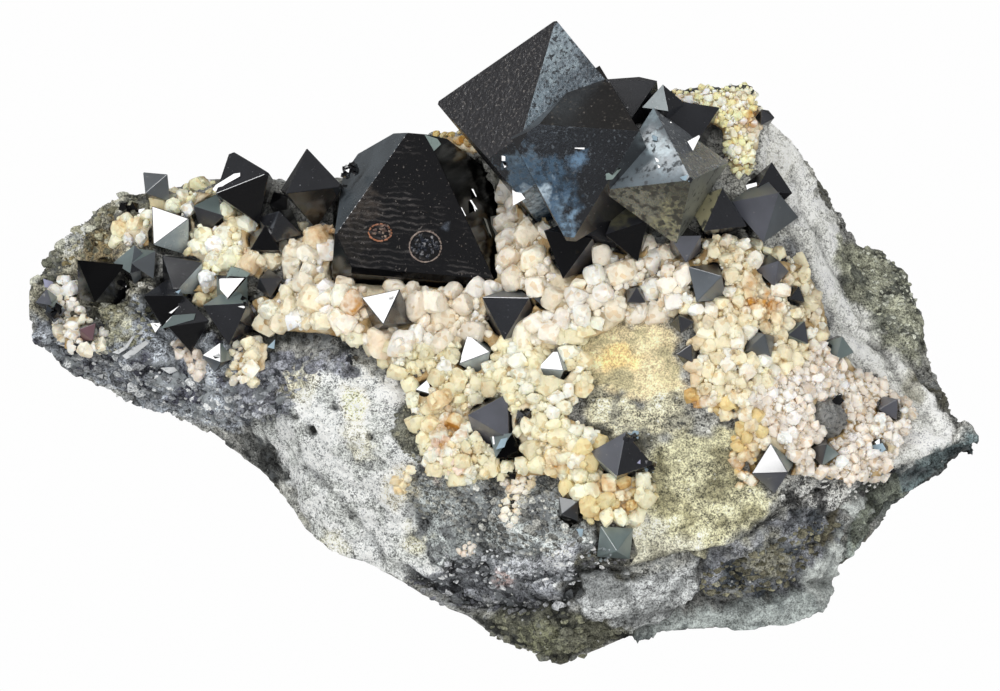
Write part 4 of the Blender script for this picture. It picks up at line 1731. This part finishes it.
@dataclass
class SmallCrystals(Grains):
    """Crystals under two millimetres: beads of magnetite, and the lining and rims of the pits."""

    seed: int = 307
    crystals: "MagnetiteCrystals | None" = None
    proud: float = 0.2  # how far a crystal's middle stands out, in sizes
    druses: tuple = (
        Druse("beads_left", (-17.4, 57.4), (0.9, 0.9), 34, (0.26, 0.42), Face.BLACK, anchor=(-16.5, 55.9),
            depth=0.6),
        Druse("beads_left_low", (-18.1, 55.6), (0.5, 0.35), 8, (0.18, 0.28), Face.BLACK, anchor=(-16.5,
            55.5), depth=0.3),
        Druse("pit_small", (-13.6, 50.4), (1.15, 0.75), 22, (0.14, 0.26), Face.DRUSE_PINK),
        Druse("pit_large", (-8.6, 48.6), (1.55, 1.5), 46, (0.16, 0.32), Face.DRUSE),
        Druse("pit_small_rim", (-13.8, 50.2), (1.36, 1), 84, (0.08, 0.15), Face.RIM_ORANGE, 0.93,
            depth=0.03),
        Druse("pit_large_rim", (-8.6, 48.6), (1.86, 1.83), 170, (0.07, 0.13), Face.RIM, 0.96, depth=0.02),
        Druse("front_hollow", (-10.1, 34.3), (1.1, 0.7), 10, (0.3, 0.55), Face.VIOLET),
        Druse("right_pair", (14.7, 26.8), (0.8, 0.6), 6, (0.3, 0.5), Face.DUSK),
        Druse("right_low", (17, 23.3), (0.8, 0.5), 7, (0.3, 0.5), Face.DUSK),
        Druse("knob_top", (38.6, 30.8), (0.2, 0.2), 1, (0.85, 0.9), Face.SOOT),
        Druse("far_edge", (45, 22.9), (0.5, 0.4), 5, (0.25, 0.45), Face.DUSK),
        Druse("pale_gap", (28.4, 33.9), (0.5, 0.6), 4, (0.3, 0.5), Face.DUSK),
        Druse("right_gap", (37.4, 37), (0.5, 0.4), 3, (0.35, 0.5), Face.SOOT),
        Druse("arm_dark", (-52, 41.3), (0.8, 0.8), 5, (0.5, 0.8), Face.SOOT),
        Druse("arm_foot", (-48.9, 37), (0.7, 0.5), 4, (0.45, 0.7), Face.DUSK),
        Druse("flank_dot", (-17, 35.5), (0.6, 0.5), 5, (0.35, 0.55), Face.DUSK),
        Druse("gap_middle", (2.5, 28.6), (0.7, 0.6), 4, (0.5, 0.8), Face.DUSK),
        Druse("gap_low", (-3.3, 22.9), (0.4, 0.4), 3, (0.35, 0.55), Face.SOOT),
        Druse("gap_foot", (1.3, 22.7), (0.5, 0.4), 4, (0.4, 0.65), Face.SOOT),
        Druse("gap_front", (1.3, 19.1), (0.5, 0.8), 3, (0.3, 0.5), Face.SOOT),
        Druse("gap_finger", (8.3, 25.7), (0.9, 0.4), 4, (0.35, 0.6), Face.DUSK),
        Druse("gap_left", (-22.2, 46.1), (0.6, 0.9), 4, (0.5, 0.8), Face.SOOT),
        Druse("gap_arm", (-29.1, 42.4), (1.2, 0.6), 5, (0.4, 0.7), Face.SOOT),
        Druse("gap_arm_top", (-43.3, 53.5), (0.6, 1.2), 5, (0.5, 0.8), Face.SOOT),
        Druse("gap_far", (27.2, 34.7), (0.6, 0.6), 3, (0.3, 0.5), Face.SOOT),
        Druse("sparkle", (11.5, 13.4), (1.6, 0.8), 16, (0.16, 0.3), Face.ICE),
    )

    def build(self) -> list[bpy.types.Object]:
        """Makes every druse.

        Returns:
            One piece for each druse.
        """
        return [piece for number, druse in enumerate(self.druses) if (piece := self.druse(druse, number))]

    def druse(self, druse: Druse, number: int) -> bpy.types.Object | None:
        """Makes one druse of octahedra.

        Args:
            druse: its place and sizes.
            number: its number, for its own chance.

        Returns:
            The piece, or None where there is nothing to stand on.
        """
        rng = np.random.default_rng(self.seed + number)
        tips = np.vstack((np.eye(3), -np.eye(3)))
        ring = ((0, 1), (1, 3), (3, 4), (4, 0))
        sides = np.array([(a, b, 2) for a, b in ring] + [(b, a, 5) for a, b in ring])
        level = self.sight.front(*druse.anchor) if druse.anchor else None
        shapes = []
        for _ in range(druse.count):
            angle, far = rng.uniform(0, math.tau), math.sqrt(rng.uniform(druse.hollow**2, 1))
            way = np.array((math.cos(angle), math.sin(angle)))
            place = np.array(druse.place) + far * np.array(druse.spread) * way
            seen = level if level is not None else self.sight.front(*place)
            if seen is None:
                continue
            size = rng.uniform(*druse.sizes)
            out = seen[2] + rng.uniform(-0.5, 0.5) * druse.depth + self.proud * size
            middle = np.array((*place, out))
            turn, _ = np.linalg.qr(rng.normal(size=(3, 3)))
            if np.linalg.det(turn) < 0:
                turn = -turn
            shapes.append((middle + size * tips @ turn.T, sides))
        if not shapes:
            LOG.warning("%s: no room", druse.name)
            return None
        piece = self.joined(f"small_crystals_{druse.name}", shapes, smooth=False)
        piece.data.materials.append(self.crystals.material(druse.face))
        return placed(piece, Slot.MAGNETITE)


@dataclass(frozen=True)
class Pit:
    """A round hollow etched in a crystal's face. Sizes are in millimetres."""

    place: tuple
    radii: tuple
    depth: float
    lining: Face


@dataclass
class MagnetiteCrystals:
    """The octahedra: each packed crystal or cluster with its edges eased and its faces finished."""

    ease: float = 0.07  # width of the eased edges in millimetres
    ease_above: float = 20.0  # degrees from which an edge is eased
    flat_within: float = 1.5  # degrees between triangles of one face
    weld: float = 0.002  # corners this near to each other, in millimetres, are one
    nodule_voxel: float = 0.2
    lump_mm: float = 0.9
    lumps: tuple = (0.55, 0.6, 0.15)  # the nodule's swelling, the depth of its hollows, and fine relief
    pit_fray: tuple = (0.12, 0.7, 2)  # depth, width and layers of the unevenness of a pit's edge
    pits: dict = field(default_factory=lambda: {
        "magnetite_left_great": (
            Pit((-13.6, 50.3), (1.30, 0.90), 0.45, Face.DRUSE_PINK),
            Pit((-8.6, 48.6), (1.78, 1.74), 0.60, Face.DRUSE),
        ),
    })
    default: Face = Face.SATIN
    faces: dict = field(default_factory=lambda: {
        "left_great": ((Face.GROWN, -10.2, 51.8), (Face.GREY, -15.8, 57.1),
            (Face.SOOT, -18.6, 46.9, -11.9, 44.7), (Face.JET, -9.4, 45.3, -3.2, 54.9)),
        "left_row": ((Face.DUSK, -30.5, 57.4, -21.9, 56.9, -26.8, 51.7, -25.1, 50.8),
            (Face.SOOT, -29.3, 54.4, -27.3, 49.4, -25.6, 53.6),
            (Face.SOOT, -21.5, 53.7, -26, 54.5, -27, 55, -24.3, 52)),
        "crown": ((Face.BROWN, -0.1, 65.9), (Face.FROSTED, 7, 68.3), (Face.BROWN_CLEAN, 10.4, 64.3),
            (Face.STEEL, 8.3, 57.5, 1.4, 57.5, 4, 53.4), (Face.SLATE, 4.2, 63, 32, 51.9, 29.3, 54.9),
            (Face.DUSK, 19.8, 64.1), (Face.SOOT, 12.6, 54.7, 7.4, 48.1, 14.8, 49.5, 16.4, 64.5),
            (Face.FOG, 17.4, 58.6, 17.9, 63.9), (Face.ICE, 18, 65.2), (Face.FOG_DARK, 21.7, 59.6),
            (Face.MOSS, 17.8, 53.3), (Face.MOSS_SIDE, 22.6, 54.3), (Face.MOSS_PALE, 23.6, 52.9),
            (Face.DUSK, 15, 66.1),
            (Face.DUSK, 19.6, 65.3, 22.1, 63.3, 23.7, 61.8, 31.4, 56.3, 25.6, 52.1),
            (Face.CHARCOAL, 9.7, 47), (Face.FILMED, 14, 51.4, 11.5, 49.2),
            (Face.VIOLET, 29.4, 52.5, 22.3, 48.1, 21.3, 48.7)),
        "left_low": ((Face.CHARCOAL, -26.6, 44.2, -26.7, 45.4, -27.6, 43.9),),
        "arm_pale": ((Face.SOOT, -31.3, 44.5), (Face.TEAL, -31.6, 42.5, -29.9, 43.7, -32.5, 43.9),
            (Face.DUSK, -31.6, 40.4, -29.4, 39.8)),
        "arm_bright": ((Face.MIRROR, -39, 51.4), (Face.ICE, -37.6, 49.6)),
        "arm_top": ((Face.SLATE, -39.4, 55.3, -40.6, 56.6),),
        "arm_flat": ((Face.TEAL, -33.6, 53.6), (Face.CHARCOAL, -34.1, 52.1)),
        "arm_black": ((Face.JET, -46.6, 45.4, -48.5, 44), (Face.SOOT, -44.8, 43.7),
            (Face.TEAL, -43.4, 47.2, -41.4, 47.9), (Face.SLATE, -42.4, 47.3, -41, 46.8, -42.3, 45.3)),
        "arm_low": ((Face.DUSK, -37.1, 46.1, -36.3, 40.9, -39, 43.7),
            (Face.SOOT, -39.1, 41.7, -36, 38.7), (Face.ICE, -35.8, 44.7)),
        "arm_glint": ((Face.MIRROR, -33.1, 36.4), (Face.TEAL, -31.9, 36.2), (Face.SLATE, -33.3, 35.2)),
        "under_white": ((Face.MIRROR_WORN, -13.6, 42.1), (Face.DUSK, -14.7, 40.4, -11.7, 41.1),
            (Face.CHARCOAL, -12.8, 39.4)),
        "under_black": ((Face.DUSK, 0.5, 41.1), (Face.CHARCOAL, 2.3, 40.1, -1, 40.1),
            (Face.SLATE, 0.9, 43.2)),
        "white_face": ((Face.MIRROR, -3.3, 36.8), (Face.ICE, -2.9, 35.4, -2.1, 37.5)),
        "white_small": ((Face.MIRROR, 6, 35.4), (Face.ICE, 5.8, 34, 7.2, 35.5)),
        "white_tiny": ((Face.MIRROR, -8.7, 32.5),),
        "low_grey": ((Face.VIOLET, -0.7, 29.3, -2.1, 27.6, 1, 29.1), (Face.JET, 1.1, 25.3),
            (Face.TEAL, -0.2, 26.1)),
        "low_middle": ((Face.VIOLET, 12.5, 25), (Face.DUSK, 14.9, 24.5, 14.7, 22.5),
            (Face.ICE, 12.1, 23)),
        "low_slate": ((Face.TEAL, 14.3, 14.4, 13.2, 15.7, 11.8, 14.6, 12.9, 13.3),),
        "low_sliver": ((Face.SLATE, 7.4, 19.3), (Face.CHARCOAL, 8.3, 18.3)),
        "right_bright": ((Face.MIRROR, 30.7, 23.9), (Face.VIOLET, 30.9, 21.9), (Face.TEAL, 32.4, 24.3)),
        "right_blue": ((Face.TEAL, 38.4, 37.1, 39.4, 36.8),),
        "right_black": ((Face.CHARCOAL, 34.4, 38.7), (Face.TEAL, 33.6, 39.4, 33.8, 37.7)),
        "right_upper": ((Face.SLATE, 23, 44.6, 24.5, 43.3), (Face.CHARCOAL, 23.9, 46.1)),
        "right_grey": ((Face.VIOLET, 32.1, 45.6, 30.8, 45.7), (Face.CHARCOAL, 30.6, 47)),
        "right_dull": ((Face.SLATE, 29.7, 37, 28.9, 38, 30.8, 37.6),),
        "right_foot": ((Face.TEAL, 37.7, 24.8), (Face.CHARCOAL, 36.6, 24.9, 36.7, 26.2)),
        "right_glint": ((Face.MIRROR, 43.3, 25.9),),
        "far_right": ((Face.VIOLET, 44.3, 30.8, 44.9, 29.9),),
        "edge_red": ((Face.RED, -48.4, 38.3, -47.8, 39),),
        "edge_left": ((Face.VIOLET, -53.1, 42.7, -51.7, 41.1), (Face.TEAL, -51.7, 42.1, -52.3, 43)),
        "speck_upper": ((Face.CHARCOAL, 15.5, 42.9, 14.8, 43.3),),
        "speck_middle": ((Face.SLATE, 4.8, 42.5),),
        "speck_low": ((Face.CHARCOAL, 21.2, 36.3),),
        "speck_right": ((Face.CHARCOAL, 21, 39.8),),
        "corner": ((Face.CHARCOAL, 30.4, 63.5),),
    })
    made: dict = field(default_factory=dict)

    def build(self) -> list[bpy.types.Object]:
        """Makes every crystal piece.

        Returns:
            One piece for each packed magnetite node.
        """
        nodes = sorted(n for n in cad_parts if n.startswith("magnetite"))
        return [self.nodule(node) if node.endswith("nodule") else self.piece(node) for node in nodes]

    def nodule(self, node: str) -> bpy.types.Object:
        """Makes the round, corroded crystal: dull grey, lumpy and pitted.

        Args:
            node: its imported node.

        Returns:
            The piece.
        """
        piece = remeshed(node, node, self.nodule_voxel, 3)
        points, normals = vertex_arrays(piece.data)
        solid = points / MM
        lumps = np.array([noise.voronoi(Vector(p / self.lump_mm))[0][0] for p in solid])
        swelling, hollows, fine = self.lumps
        relief = swelling - hollows * lumps + fine * fractal(solid, 0.8, 3)
        points += normals * (relief * MM)[:, None]
        piece.data.vertices.foreach_set("co", points.ravel())
        piece.data.materials.append(self.material(Face.CORRODED))
        piece.name = node.replace("magnetite", "corroded")
        return placed(piece, Slot.MAGNETITE, node)

    def piece(self, node: str) -> bpy.types.Object:
        """Makes one node's crystals, with eased edges and a finish on each face.

        Args:
            node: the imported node.

        Returns:
            The piece.
        """
        form = bmesh.new()
        form.from_mesh(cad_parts[node].data)
        bmesh.ops.remove_doubles(form, verts=form.verts, dist=self.weld * MM)
        bmesh.ops.dissolve_limit(
            form, angle_limit=math.radians(self.flat_within), verts=form.verts, edges=form.edges
        )
        form.faces.ensure_lookup_table()
        finishes = [self.default]
        tree = BVHTree.FromBMesh(form)
        for face, *places in self.faces.get(node.removeprefix("magnetite_"), ()):
            for place in zip(places[::2], places[1::2]):
                index = cast(tree, *place)[2]
                if index is None:
                    LOG.warning("%s has no face at %.1f, %.1f", node, *place)
                    continue
                if face not in finishes:
                    finishes.append(face)
                form.faces[index].material_index = finishes.index(face)
        piece = formed(node.replace("magnetite", "octahedra"), form)
        for face in finishes:
            piece.data.materials.append(self.material(face))
        ease = piece.modifiers.new("eased_edges", "BEVEL")
        ease.width = self.ease * MM
        ease.segments = 2
        ease.limit_method = "ANGLE"
        ease.angle_limit = math.radians(self.ease_above)
        ease.use_clamp_overlap = True
        for pit in self.pits.get(node, ()):
            self.etch(piece, pit)
        return placed(piece, Slot.MAGNETITE, node)

    def etch(self, piece: bpy.types.Object, pit: Pit) -> None:
        """Cuts one pit into the face that shows at its place.

        Args:
            piece: the crystals.
            pit: the pit.
        """
        ball = Ball.of(3)
        point, normal, _, _ = cast(tree_of([piece]), *pit.place)
        aside = normal.cross(Vector((0, 0, 1))).normalized()
        up = aside.cross(normal)
        depth, *size = self.pit_fray
        uneven = 1 + depth * fractal(ball.points, *size)
        local = ball.points * (*pit.radii, pit.depth) * uneven[:, None] * MM
        points = np.array(point) + local @ np.array((aside, up, normal))
        cutter = mesh_piece("pit", points, ball.faces)
        cutter.data.materials.append(self.material(pit.lining))
        cut = piece.modifiers.new("pit", "BOOLEAN")
        cut.operation = "DIFFERENCE"
        cut.solver = "EXACT"
        cut.material_mode = "TRANSFER"
        cut.object = cutter
        applied(piece)
        lining = piece.data.materials.find(self.material(pit.lining).name)
        for face in piece.data.polygons:
            face.use_smooth = face.material_index == lining
        bpy.data.objects.remove(cutter)

    def material(self, face: Face) -> bpy.types.Material:
        """Makes a finish's material, if it isn't made yet.

        Args:
            face: the finish.

        Returns:
            The material.
        """
        if face not in self.made:
            self.made[face] = face.value.build(face.name.lower())
        return self.made[face]


@dataclass(frozen=True)
class Softbox:
    """A soft light far off in one direction, given as (right, back, up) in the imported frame.

    half_angle is its half width as seen from the specimen, in degrees, and glow how bright its face
    is, where 1 is a white surface. A light with mirrored off doesn't show in the crystals' gloss.
    """

    name: str
    way: tuple
    half_angle: float
    glow: float
    tint: str = "ffffff"
    mirrored: bool = True


@dataclass
class Studio:
    """The table, the soft lights and the camera."""

    distance: float = 0.9
    floor_seen: float = 0.99  # how bright the floor looks to the camera
    floor_glow: float = 0.6
    floor_mirrored: float = 0.10  # how bright it looks in the crystals' gloss
    floor_level: float = -0.2  # in millimetres, just under the specimen
    dim: float = 0.07
    floor_size: float = 6.0
    lens: float = 400.0
    sensor: float = 36.0
    clip: tuple = (0.05, 20.0)
    view_width: float = 114.6  # how wide the view is at the display plane, in millimetres
    view_middle: tuple = (0.0, 37.2)
    boxes: tuple = (
        Softbox("key", (-0.42, 0.17, 0.89), 14.5, 6.8),
        Softbox("front_fill", (0.05, -0.85, 0.55), 38.0, 1.75, mirrored=False),
        Softbox("left_fill", (-0.85, -0.25, 0.45), 30.0, 0.7, mirrored=False),
        Softbox("right_fill", (0.85, -0.15, 0.5), 30.0, 1.15, mirrored=False),
        Softbox("blue_left", (-0.72, -0.30, 0.62), 12.0, 0.8, "c9dcf2"),
        Softbox("blue_right", (0.72, -0.30, 0.62), 12.0, 0.35, "c9dcf2"),
        Softbox("side_left", (-0.88, 0.30, 0.36), 11.0, 0.55, "dfe6ee"),
    )

    def build(self) -> None:
        """Makes the floor, the lights, the dim surroundings and the camera."""
        middle = Vector(to_model(np.array((*self.view_middle, 0.0))))
        self.floor()
        for box in self.boxes:
            self.light(box, middle)
        world = bpy.data.worlds.new("dim_studio")
        world.use_nodes = True
        world.node_tree.nodes.clear()
        back = add(world.node_tree, "Background", {"Strength": self.dim})
        add(world.node_tree, "OutputWorld", {"Surface": back})
        bpy.context.scene.world = world
        bpy.context.scene.view_settings.view_transform = "Standard"
        self.camera(middle)

    def floor(self) -> None:
        """A pale lit table top, so bright that it shows no shadow."""
        form = bmesh.new()
        bmesh.ops.create_grid(form, x_segments=1, y_segments=1, size=self.floor_size / 2)
        floor = formed("floor", form)
        floor.location.z = self.floor_level * MM
        s = Shading("light_table_opal")
        camera_ray = s.add("LightPath", (), "Is Camera Ray")
        gloss_ray = camera_ray.node.outputs["Is Glossy Ray"]
        unseen = s.add("MapRange", (gloss_ray, 0, 1, self.floor_glow, self.floor_mirrored))
        glow = s.add("Mix", {0: camera_ray, 2: unseen, 3: self.floor_seen}, data_type="FLOAT")
        s.add("OutputMaterial", {"Surface": s.add("Emission", {"Strength": glow})})
        floor.data.materials.append(s.material)

    def light(self, box: Softbox, middle: Vector) -> None:
        """Makes one light.

        Args:
            box: its size and brightness.
            middle: the specimen's middle, which it faces.
        """
        way = Vector(box.way).normalized()
        radius = self.distance * math.tan(math.radians(box.half_angle))
        lamp = bpy.data.lights.new(box.name, "AREA")
        lamp.shape = "DISK"
        lamp.size = 2 * radius
        lamp.energy = box.glow * math.pi * math.pi * radius**2
        lamp.color = linear(box.tint)[:3]
        item = linked(box.name, lamp)
        item.location = middle + way * self.distance
        item.rotation_mode = "QUATERNION"
        item.rotation_quaternion = way.to_track_quat("Z", "Y")
        item.visible_camera = False
        item.visible_glossy = box.mirrored

    def camera(self, middle: Vector) -> None:
        """Looks at the specimen along the display direction through a long lens.

        Args:
            middle: the specimen's middle.
        """
        far = self.view_width * self.lens / self.sensor
        lens = bpy.data.cameras.new("camera")
        lens.lens = self.lens
        lens.sensor_width = self.sensor
        lens.clip_start, lens.clip_end = self.clip
        camera = linked("camera", lens)
        turn = Matrix(DISPLAY.tolist()).to_4x4()
        camera.matrix_world = Matrix.Translation(middle + Vector(OUT) * far * MM) @ turn
        bpy.context.scene.camera = camera


def main() -> None:
    """Builds the specimen's finished pieces and the studio round them."""
    logging.basicConfig(level=logging.INFO, format="%(message)s")
    magnetite = MagnetiteCrystals()
    crystals = magnetite.build()
    rock = SchistRock().build()
    beds = FeldsparBeds().build()
    bpy.context.view_layer.update()
    sight = Sight.over([rock, *beds], crystals)
    SchistCrumbs(sight).build()
    FeldsparGrains(sight).build()
    SmallCrystals(sight, crystals=magnetite).build()
    GrowthSteps(sight, magnetite).build()
    Studio().build()


if __name__ == "__main__":
    main()
